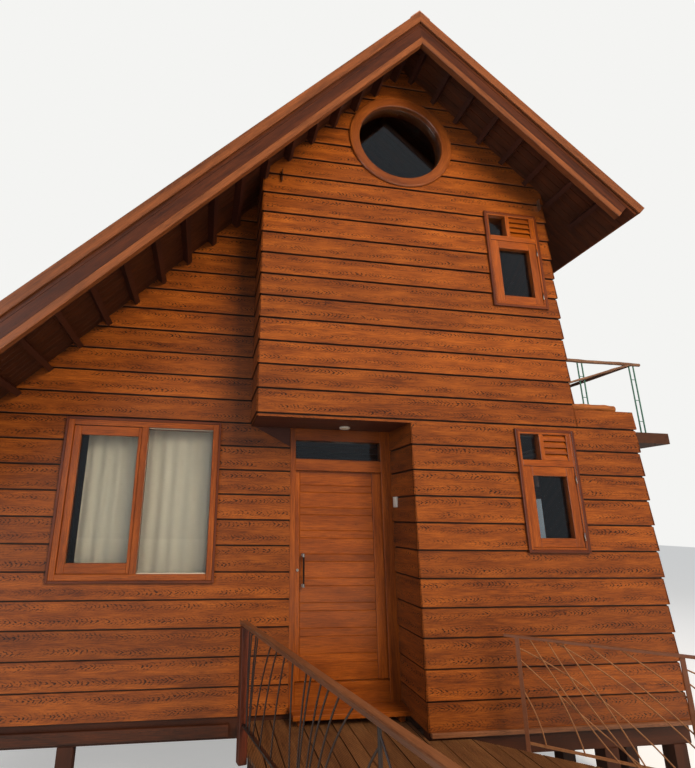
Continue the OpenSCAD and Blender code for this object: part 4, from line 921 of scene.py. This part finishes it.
# %% Roof helpers
def prisms(name, starts, ends, flip=False):
    """Outlines carried along straight lines. starts and ends hold the same outline
    points in 3-D, and go clockwise as seen along the way from start to end."""
    verts, faces, uv, tone = [], [], [], []
    base = 0
    for start, end in zip(starts, ends):
        start, end = np.asarray(start, float), np.asarray(end, float)
        n = len(start)
        k = np.arange(n)
        j = (k + 1) % n
        around = np.concatenate([[0], np.cumsum(np.linalg.norm(np.diff(
            start, axis=0, append=start[:1]), axis=1))])
        length = np.linalg.norm(end - start, axis=1)
        shift = rng.uniform(0, 30)
        quads = np.stack([k, k + n, j + n, j], 1)
        quad_uv = np.stack([
            np.stack([0 * k, length, length[j], 0 * k], 1) + shift,
            np.stack([around[:-1], around[:-1], around[1:], around[1:]], 1) + shift], -1)
        caps = np.stack([k, k[::-1] + n])
        flat = np.stack([np.full(n, shift), around[:-1]], 1)
        if flip:
            quads, quad_uv, caps = quads[:, ::-1], quad_uv[:, ::-1], caps[:, ::-1]
        verts += [start, end]
        faces += (quads + base).tolist() + (caps + base).tolist()
        uv += [quad_uv.reshape(-1, 2), flat, flat]
        tone.append(np.full(2 * n, rng.uniform()))
        base += 2 * n
    return piece(name, np.concatenate(verts), faces, np.concatenate(uv), tone=np.concatenate(tone))


SIDES = {"left": (-1, PITCH_L, (RIDGE_X - lo("roof_left")[0]) / math.cos(PITCH_L)),
         "right": (1, PITCH_R, (hi("roof_right")[0] - RIDGE_X) / math.cos(PITCH_R))}
print("slopes", {side: round(float(length), 3) for side, (_, _, length) in SIDES.items()})


def on_slope(side, s, y, p):
    """The point s down the slope from the ridge and p under its upper face:
    x = ridge + side * (s cos a - p sin a), z = apex - s sin a - p cos a."""
    sign, a, _ = SIDES[side]
    s, y, p = np.broadcast_arrays(s, y, p)
    return np.stack([RIDGE_X + sign * (s * math.cos(a) - p * math.sin(a)), y,
                     APEX - s * math.sin(a) - p * math.cos(a)], -1)


def down_slope(name, side, outlines, short=0.0):
    """Outlines of (y, p) carried from the ridge plane, where s = p tan a, down to the
    eave less short."""
    sign, a, length = SIDES[side]
    starts, ends = [], []
    for outline in outlines:
        y, p = np.asarray(outline, float).T
        starts.append(on_slope(side, p * math.tan(a), y, p))
        ends.append(on_slope(side, length - short, y, p))
    return prisms(name, starts, ends, flip=sign < 0)


def bevelled(a0, a1, b0, b1, c=0.004):
    """A rectangle's outline with its corners cut off, anticlockwise."""
    return [(a0 + c, b0), (a1 - c, b0), (a1, b0 + c), (a1, b1 - c),
            (a1 - c, b1), (a0 + c, b1), (a0, b1 - c), (a0, b0 + c)]


# %% [markdown]
# ### Soffit, sheet and gable boards
# Seen from below there are narrow dark boards that run down the slope, with a fine
# groove between each pair. Over them lies a lapped bitumen sheet. A gable edge has a
# dark barge board with a paler lower board, and outside it a trim board. The soffit
# could be many boards, but one outline with all its grooves has no gaps to see through.

# %% Soffit and sheet
BOARD_Y, GROOVE, GROOVE_DEEP, LINING_TOP = 0.090, 0.007, 0.006, 0.030
groove_y = np.arange(ROOF_Y1, ROOF_Y0 + BOARD_Y, -BOARD_Y)[1:]
groove = np.stack([groove_y + GROOVE * share for share in (1, 0.7, 0.3, 0)], 1).ravel()
groove_p = np.tile([ROOF_T, ROOF_T - GROOVE_DEEP, ROOF_T - GROOVE_DEEP, ROOF_T], len(groove_y))
soffit_outline = np.concatenate([
    [(ROOF_Y0, LINING_TOP), (ROOF_Y1, LINING_TOP), (ROOF_Y1, ROOF_T)],
    np.stack([groove, groove_p], 1), [(ROOF_Y0, ROOF_T)]])
STRIP, LIFT = 0.85, 0.006
TRIM_W, TRIM_T, TRIM_GAP = 0.110, 0.025, 0.0003
BARGE_T, BARGE_SHORT, BARGE_LOW, EDGE_PROUD = 0.06, 0.13, 0.272, 0.012
for side, (sign, a, length) in SIDES.items():
    finish_with(down_slope(f"soffit_boards_{side}", side, [soffit_outline]), SOFFIT_WOOD,
                [f"roof_{side}"])
    laps = np.arange(length, 0.3, -STRIP)[::-1]
    s = np.concatenate([[0.0], np.repeat(laps, 2)[:-1], [length, LINING_TOP * math.tan(a)]])
    p = np.concatenate([[0.0], np.tile([-LIFT, 0.0], len(laps))[:-1], [LINING_TOP, LINING_TOP]])
    finish_with(prisms(f"bitumen_sheet_{side}", [on_slope(side, s, ROOF_Y0, p)],
                       [on_slope(side, s, ROOF_Y1, p)], flip=sign < 0), FELT)
    for end, y, way in (("front", ROOF_Y0, 1), ("back", ROOF_Y1, -1)):
        barge = sorted((y, y + BARGE_T * way))
        edge = sorted((y - EDGE_PROUD * way, y + BARGE_T * way))
        trim = sorted((y - TRIM_T * way, y - TRIM_GAP * way))
        # The barge board's dark colour is partly painted shade for the band recessed between the trim and
        # the proud lower board.
        for kind, outline, short, material in (
                ("barge_board", bevelled(*barge, ROOF_T + TRIM_GAP, BARGE_LOW), BARGE_SHORT,
                 SOFFIT_WOOD),
                ("barge_edge", bevelled(*edge, BARGE_LOW + 0.001, 0.347, 0.006), BARGE_SHORT,
                 SLOPE_WOOD),
                ("gable_trim", bevelled(*trim, 0.0, TRIM_W), -TRIM_T, SLOPE_WOOD)):
            finish_with(down_slope(f"{kind}_{end}_{side}", side, [outline], short), material)
    s, p = np.array(bevelled(length + TRIM_GAP, length + TRIM_T, 0.0, TRIM_W))[::-1].T
    finish_with(prisms(f"eave_trim_{side}", [on_slope(side, s, ROOF_Y0 - 0.0002, p)],
                       [on_slope(side, s, ROOF_Y1 + 0.0002, p)], flip=sign < 0), SLOPE_WOOD)
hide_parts("barge_rafters")
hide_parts("roof_trim")

# %% [markdown]
# ### Ridge cap
# The ridge is closed by one sheet folded over it, a few millimetres above the roof. It
# could be a bent plane with a thickness added. A closed outline of three points above
# and three below gives the fold both pitches at once.

# %% Ridge cap
CAP_LO, CAP_HI = box_of("ridge_cap")
CAP_LIFT, CAP_T = 0.012, 0.0115
cap_x, cap_pitch = np.array([CAP_HI[0], RIDGE_X, CAP_LO[0]]), np.array([PITCH_R, PITCH_R, PITCH_L])
cap_z = APEX + CAP_LIFT / np.cos(cap_pitch) - abs(cap_x - RIDGE_X) * np.tan(cap_pitch)
cap_top = np.stack([cap_x, cap_z], 1)
cap_low = np.stack([cap_x, cap_z - CAP_T / np.cos(cap_pitch)], 1)
cap_outline = np.concatenate([cap_top, cap_low[::-1]])
cap_ends = [np.insert(cap_outline, 1, y, axis=1) for y in (CAP_LO[1], CAP_HI[1])]
finish_with(prisms("ridge_flashing", cap_ends[:1], cap_ends[1:]), FLASHING, ["ridge_cap"])

# %% [markdown]
# ## Deck
# Deck boards are extruded or milled with fine ribs that give grip. A bump texture
# would show them from afar, but not at the edge of a board. So the ribs are a saw-like
# height across the deck, and each column of points runs between the two outline lines
# of the deck at that place, so the diagonal edge cuts through the boards.

# %% Deck
DECK_BOARD, RIB, RIB_DEEP, JOINT, JOINT_DEEP = 0.145, 0.0125, 0.0022, 0.0035, 0.012
DECK_LO, DECK_HI = box_of("deck_boards")
left_x, right_x = X0 - 0.03, DECK_HI[0]
notch_x, corner_x, corner_y = X0 + 1.598, X0 + 1.99, Y0 - 0.03
GRAIN_SHIFT = 29.7  # each board takes its grain from another place
skew, turn = 0.21, math.tan(math.radians(38))  # slopes of the left edge and the right one
step = np.arange(left_x, right_x, RIB)
ribs = (step[:, None] + RIB * np.array([0.0, 0.12, 0.52, 0.64])).ravel()
rib_z = np.tile([-RIB_DEEP, 0.0, 0.0, -RIB_DEEP], len(step))
boards_off = (ribs - left_x) / DECK_BOARD
in_joint = np.abs(boards_off - np.round(boards_off)) * DECK_BOARD < JOINT
# The board joints and the rib grooves are darkened with painted shade.
deck_dirt = np.where(in_joint, 0.9, np.where(rib_z < 0, 0.75, 0.0))
rib_z = np.where(in_joint, -JOINT_DEEP, rib_z)
stops_x = np.array([notch_x - 1e-5, notch_x + 1e-5, corner_x, right_x])
deck_x = np.concatenate([ribs, stops_x])
rib_z, deck_dirt = (np.concatenate([values, 0 * stops_x]) for values in (rib_z, deck_dirt))
order = np.argsort(deck_x, kind="stable")
order = order[deck_x[order] <= right_x + 1e-9]
deck_x, rib_z, deck_dirt = deck_x[order], rib_z[order], deck_dirt[order]
front_edge = np.maximum(Y0 - (deck_x - left_x) / skew, DECK_LO[1])
cut_edge = corner_y - np.maximum(deck_x - corner_x, 0) * turn
back_edge = np.where(deck_x <= notch_x, DECK_HI[1], cut_edge)
low_z, top_z = 0 * deck_x + DECK_LO[2], DECK_Z + rib_z
ring_y = np.stack([front_edge, front_edge, back_edge, back_edge], 1)
ring_z = np.stack([low_z, top_z, top_z, low_z], 1)
ring_x = np.repeat(deck_x[:, None], 4, 1)
deck_points = np.stack([ring_x, ring_y, ring_z], -1).reshape(-1, 3)
last = 4 * (len(deck_x) - 1)
deck_faces = grid_faces(len(deck_x), 4, closed=True)[:, ::-1].tolist()
deck_faces += [[0, 1, 2, 3], [last + 3, last + 2, last + 1, last]]
corners = np.array(deck_faces).ravel()
board_no = np.floor((deck_points[:, 0] - left_x) / DECK_BOARD + 1e-6).astype(int)
deck_tone = rng.uniform(0, 1, board_no.max() + 1)[board_no]
deck_uv = np.stack([deck_points[:, 1] + GRAIN_SHIFT * deck_tone, deck_points[:, 0] - left_x], -1)
finish_with(piece("ribbed_deck", deck_points, deck_faces, deck_uv[corners], tone=deck_tone,
                  dirt=np.repeat(deck_dirt, 4)), DECK_WOOD, ["deck_boards"])

# %% [markdown]
# ### Skirt and foot strip
# A dark board covers the foot of the wing's wall, and a narrow strip closes the gap
# between deck and wall. Both are single sawn boards, so the timber helper is enough.

# %% Skirt and strip
skirt = in_frame((X0, Y0, 0), RIGHT, BACK, [(-3.2, -0.135, 0.570, 0.610, 0.680, 0.780, "x")])
strip = in_frame((X0, Y0, 0), RIGHT, BACK, [(1.622, 4.29, -0.045, -0.0005, 0.816, 0.856, "x")])
finish_with(timber("wing_skirt_board", skirt), SOFFIT_WOOD)
finish_with(timber("wall_foot_strip", strip, 0.006), RAIL_WOOD, ["skirt_boards"])

# %% [markdown]
# ### Left railing
# The railing follows the slanting left edge of the deck. Two square posts carry a flat
# handrail with softened edges. It could be built straight and then turned. Here its
# own two directions are given to the timber helper, so nothing is moved afterwards.

# %% Left railing
POST, POST_TOP, DECK_RUN = 0.075, DECK_Z + 0.95, 2.7
lean = math.atan(skew)
rail_along, rail_in = (math.sin(lean), -math.cos(lean), 0), (math.cos(lean), math.sin(lean), 0)
rail_len = DECK_RUN / math.cos(lean)
rail_origin = (left_x, Y0, 0)
posts = in_frame(rail_origin, rail_along, rail_in, [
    (start, start + POST, -POST, 0, DECK_Z - 0.08, POST_TOP, "z") for start in (0, rail_len - POST)])
handrail = in_frame(rail_origin, rail_along, rail_in, [
    (-0.035, rail_len, -0.0715, -0.0035, POST_TOP, DECK_Z + 0.985, "x")])
finish_with(timber("left_railing_posts", posts, 0.004), POST_WOOD, ["left_railing"])
finish_with(timber("left_handrail", handrail, 0.007), RAIL_WOOD)

# %% [markdown]
# ## Rails of round wood
# The terrace rail is round wood in its weathered bark, and a peeled log lies on the
# parapet. Such wood is never straight or even, so its path wanders by a few millimetres
# and its radius swells at each old side shoot. Sculpting would give the same look, but
# never the same shape twice.

# %% Branches
def branch(start, end, radius, wander=0.007, knots=5):
    """A path and its radii: a sum of two slow sines moves the line, and narrow bumps
    of exp(-((t - knot)/w)^2) swell the radius."""
    t = np.linspace(0, 1, 61)
    start, end = np.array(start, float), np.array(end, float)
    phase = rng.uniform(0, 6.3, 4)
    wave = [np.sin(9 * t + phase[k]) * 0.6 + np.sin(23 * t + phase[k + 2]) * 0.4 for k in (0, 1)]
    way = (end - start) / np.linalg.norm(end - start)
    e1 = np.cross(way, [0.2, 0.3, 0.93])
    e1 /= np.linalg.norm(e1)
    e2 = np.cross(way, e1)
    fade = np.sin(np.pi * t) ** 0.5
    path = start + t[:, None] * (end - start) + wander * fade[:, None] * (
        wave[0][:, None] * e1 + wave[1][:, None] * e2)
    places = rng.uniform(0.08, 0.92, knots)
    reach = 0.045 / np.linalg.norm(end - start)
    swell = np.exp(-(((t[:, None] - places) / reach) ** 2)).sum(1)
    return path, radius * (0.97 - 0.10 * t + 0.04 * np.sin(17 * t + phase[0]) * fade + 0.10 * swell)


RAILS_HI, BRANCH_R = hi("branch_rails"), 0.0225
post_x, front_y, inner_x = XR + 0.315, Y0 + 0.18, X1 + 0.03
far_x, far_y, branch_z = RAILS_HI - (0.01, 0.01, BRANCH_R)
rails = [
    branch((inner_x, front_y, branch_z), (far_x, front_y, branch_z), BRANCH_R, 0.004),
    branch((post_x, front_y, branch_z), (post_x, far_y, branch_z), BRANCH_R, 0.006, 9),
    branch((inner_x, front_y - 0.024, branch_z - 0.331), (post_x, front_y - 0.024, branch_z),
           0.0135, 0.003)]
finish_with(tube("branch_handrails", *zip(*rails), 14), BARK, ["branch_rails"])
LOG_LO, LOG_HI = box_of("parapet_log")
_, log_y, log_z = (LOG_LO + LOG_HI) / 2
log_r = (LOG_HI[2] - LOG_LO[2]) / 2
log_path, log_radius = branch((LOG_LO[0], log_y, log_z), (LOG_HI[0], log_y, log_z), log_r, 0.003, 3)
finish_with(tube("peeled_log", [log_path], [log_radius * 0.94], 28), LOG_WOOD, ["parapet_log"])

# %% [markdown]
# ## Lamp and switch
# The porch lamp is a flat opal lens in a white ring, and the switch is a rounded plate
# with a rocker. The ring is turned and the lens is a stack of circles, because both are
# round about one axis. The plate is two chamfered boxes, which is all that is seen.

# %% Lamp and switch
LAMP_LO, LAMP_HI = box_of("porch_lamp")
lamp_centre = np.array([*(LAMP_LO + LAMP_HI)[:2] / 2, LAMP_HI[2]])
lamp_ring = [(0.045, 0.0), (0.045, 0.012), (0.049, 0.018), (0.056, 0.017), (0.060, 0.010),
             (0.060, 0.0)]
finish_with(lathe("porch_lamp_ring", lamp_centre, (0, 0, -1), lamp_ring, 64), WHITE,
            ["porch_lamp"])
lens_drop = np.array([0.0, 0.009, 0.013, 0.0155, 0.017])
lens_radii = np.array([0.044, 0.044, 0.040, 0.030, 0.014])
finish_with(tube("porch_lamp_lens", [lamp_centre - lens_drop[:, None] * UP], [lens_radii], 40), LENS)
SWITCH_LO, SWITCH_HI = box_of("light_switch")
_, w, h = SWITCH_HI - SWITCH_LO
plate = in_frame((XP, SWITCH_LO[1], SWITCH_LO[2]), BACK, LEFT, [
    (0, w, 0.004, 0.031, 0, h, "z"), (0.26 * w, 0.74 * w, 0.031, 0.036, 0.22 * h, 0.78 * h, "z")])
finish_with(timber("switch_plate", plate, 0.003), WHITE, ["light_switch"])

# %% [markdown]
# ## Camera
# The photograph was taken from the entrance deck, close to the wall and looking up.
# Focal length, tilt and turn come from fitting the courses and corners of the two
# wall planes, so they are numbers here. A constraint could aim the camera at a point,
# but it can't give a measured roll. The rotation is a turn about the vertical, a tilt
# and a slight roll, multiplied as matrices.

# %% Camera
PHOTO_W, PHOTO_H = 695, 768


def turned_camera(place, pitch, yaw, roll, focal_px, centre_px):
    """A camera whose axes are roll * tilt * turn, with the lens given in pixels of the
    photograph and shifted so that the principal point is centre_px."""
    cy, sy = math.cos(yaw), math.sin(yaw)
    cp, sp = math.cos(pitch), math.sin(pitch)
    cr, sr = math.cos(roll), math.sin(roll)
    turn_about_z = np.array([[cy, sy, 0], [-sy, cy, 0], [0, 0, 1]])
    to_picture = np.array([[1, 0, 0], [0, 0, -1], [0, 1, 0]])
    tilt = np.array([[1, 0, 0], [0, cp, sp], [0, -sp, cp]])
    roll_about_view = np.array([[cr, sr, 0], [-sr, cr, 0], [0, 0, 1]])
    to_camera = roll_about_view @ tilt @ to_picture @ turn_about_z
    axes = np.stack([to_camera[0], -to_camera[1], -to_camera[2]], 1)
    data = bpy.data.cameras.new("camera")
    data.sensor_fit = "AUTO"
    data.sensor_width = 36.0
    data.lens = focal_px / PHOTO_H * data.sensor_width
    data.shift_x = (PHOTO_W / 2 - centre_px[0]) / PHOTO_H
    data.shift_y = (centre_px[1] - PHOTO_H / 2) / PHOTO_H
    data.clip_end = 200
    made = bpy.data.objects.new("camera", data)
    bpy.context.collection.objects.link(made)
    made.matrix_world = Matrix.Translation(Vector(place)) @ Matrix(axes.tolist()).to_4x4()
    bpy.context.scene.camera = made
    return made


camera = turned_camera((X0 - 0.485, Y0 - 4.658, LEVEL - 1.031), math.radians(15.814),
                       math.radians(-8.617), math.radians(-0.9025), 475.29, (280, 384))
print("camera at", [round(v, 3) for v in camera.location])

# %% [markdown]
# ## Floor, world and lamps
# A pale floor and a pale backdrop, a large soft key lamp in front and to the right,
# where the light comes from, and a weaker fill from the left. The backdrop is white
# only to the camera. What lights the house is a softer grey sky, so that shade stays
# shade. A sunlamp would draw hard edges that belong to one hour and not to the house.

# %% Floor and world
BACKDROP = "#f4f4f2"
reach = 60.0
floor = piece("studio_floor", [(-reach, -reach, 0), (reach, -reach, 0), (reach, reach, 0),
                               (-reach, reach, 0)], [(0, 1, 2, 3)])
floor_mat, floor_tree, floor_shader = new_material(
    "pale_floor", Base_Color="#e4e2de", Roughness=0.9, Emission_Color=BACKDROP)
floor_seen = add(floor_tree, "LightPath").node.outputs["Is Camera Ray"]
plug(floor_tree, floor_shader, {
    "Emission Strength": add(floor_tree, "Math", [floor_seen, 0.45], operation="MULTIPLY")})
floor.data.materials.append(floor_mat)

world = bpy.data.worlds.new("studio")
bpy.context.scene.world = world
world.use_nodes = True
sky_tree = world.node_tree
sky = sky_tree.nodes["Background"]
plug(sky_tree, sky, {"Color": "#dbe2ec", "Strength": 0.32})
backdrop = add(sky_tree, "Background", {"Color": BACKDROP, "Strength": 1.0})
seen = add(sky_tree, "LightPath").node.outputs["Is Camera Ray"]
mixed = add(sky_tree, "MixShader", [seen, sky.outputs[0], backdrop])
plug(sky_tree, sky_tree.nodes["World Output"], {"Surface": mixed})


# %% [markdown]
# ### Lamps
# A photographer sets large soft boxes round an object: the key gives it form, the fill
# opens the shade, and the rim draws its edge from behind. The key is kept out of
# reflections, because a white square in a pane would read as a thing of its own.

# %% Lamps
def lamp(name, place, target, size, power, colour):
    """A square area lamp turned from its place towards its target."""
    data = bpy.data.lights.new(name, "AREA")
    data.shape = "SQUARE"
    data.size = size
    data.energy = power
    data.color = linear(colour)[:3]
    obj = bpy.data.objects.new(name, data)
    bpy.context.collection.objects.link(obj)
    obj.location = place
    obj.rotation_mode = "QUATERNION"
    obj.rotation_quaternion = (Vector(target) - Vector(place)).to_track_quat("-Z", "Y")
    return obj


key = lamp("key", (5.2, -12.0, 9.5), (0.5, -1, 3.2), 6.0, 2100, "#ffedd4")
key.visible_glossy = False
lamp("fill", (-10.0, -11.0, 6.0), (-2, 0, 2.5), 7.0, 450, "#f4f2f4")
lamp("rim", (4.0, 13.0, 9.0), (0, 0, 3.5), 6.0, 700, "#eef2ff")
bpy.context.scene.view_settings.view_transform = "Standard"

# %% [markdown]
# ## CAD nodes that are shown as they are
# What the new pieces don't replace keeps its CAD mesh and gets its finish here. Wood
# on these solids takes its grain from the object's own axes. They could get new meshes
# too, but on plain posts, beams and linings nothing more would be seen.

# %% Finishes on CAD nodes
SHOWN = {
    WALL_LINING: ["lower_front_wall", "porch_return_wall", "wing_front_wall", "wing_side_wall",
                  "lower_back_wall", "lower_right_wall", "upper_front_wall", "upper_side_walls",
                  "upper_back_wall", "porch_ceiling", "upper_joists"],
    PURLIN_WOOD: ["roof_purlins", "upper_beams"],
    FLOOR_WOOD: ["ground_floor", "upper_floor"],
    FRAMING: ["floor_joists", "floor_beams", "deck_beams"],
    UPRIGHT: ["stilts"],
    SLAB: ["terrace_slab"],
    FLOAT_GLASS: ["window_glass"],
    STEEL: ["frame_hinges", "leaf_hinges", "cable_hooks"],
    ROD_DARK: ["left_railing_rods"],
    RAIL_STEEL: ["right_railing"],
    ROD_PALE: ["right_railing_rods"],
    GREEN: ["terrace_posts"],
}
for material, names in SHOWN.items():
    for name in names:
        nodes[name].data.materials.clear()
        nodes[name].data.materials.append(material)
print(sum(map(len, SHOWN.values())), "CAD nodes shown")
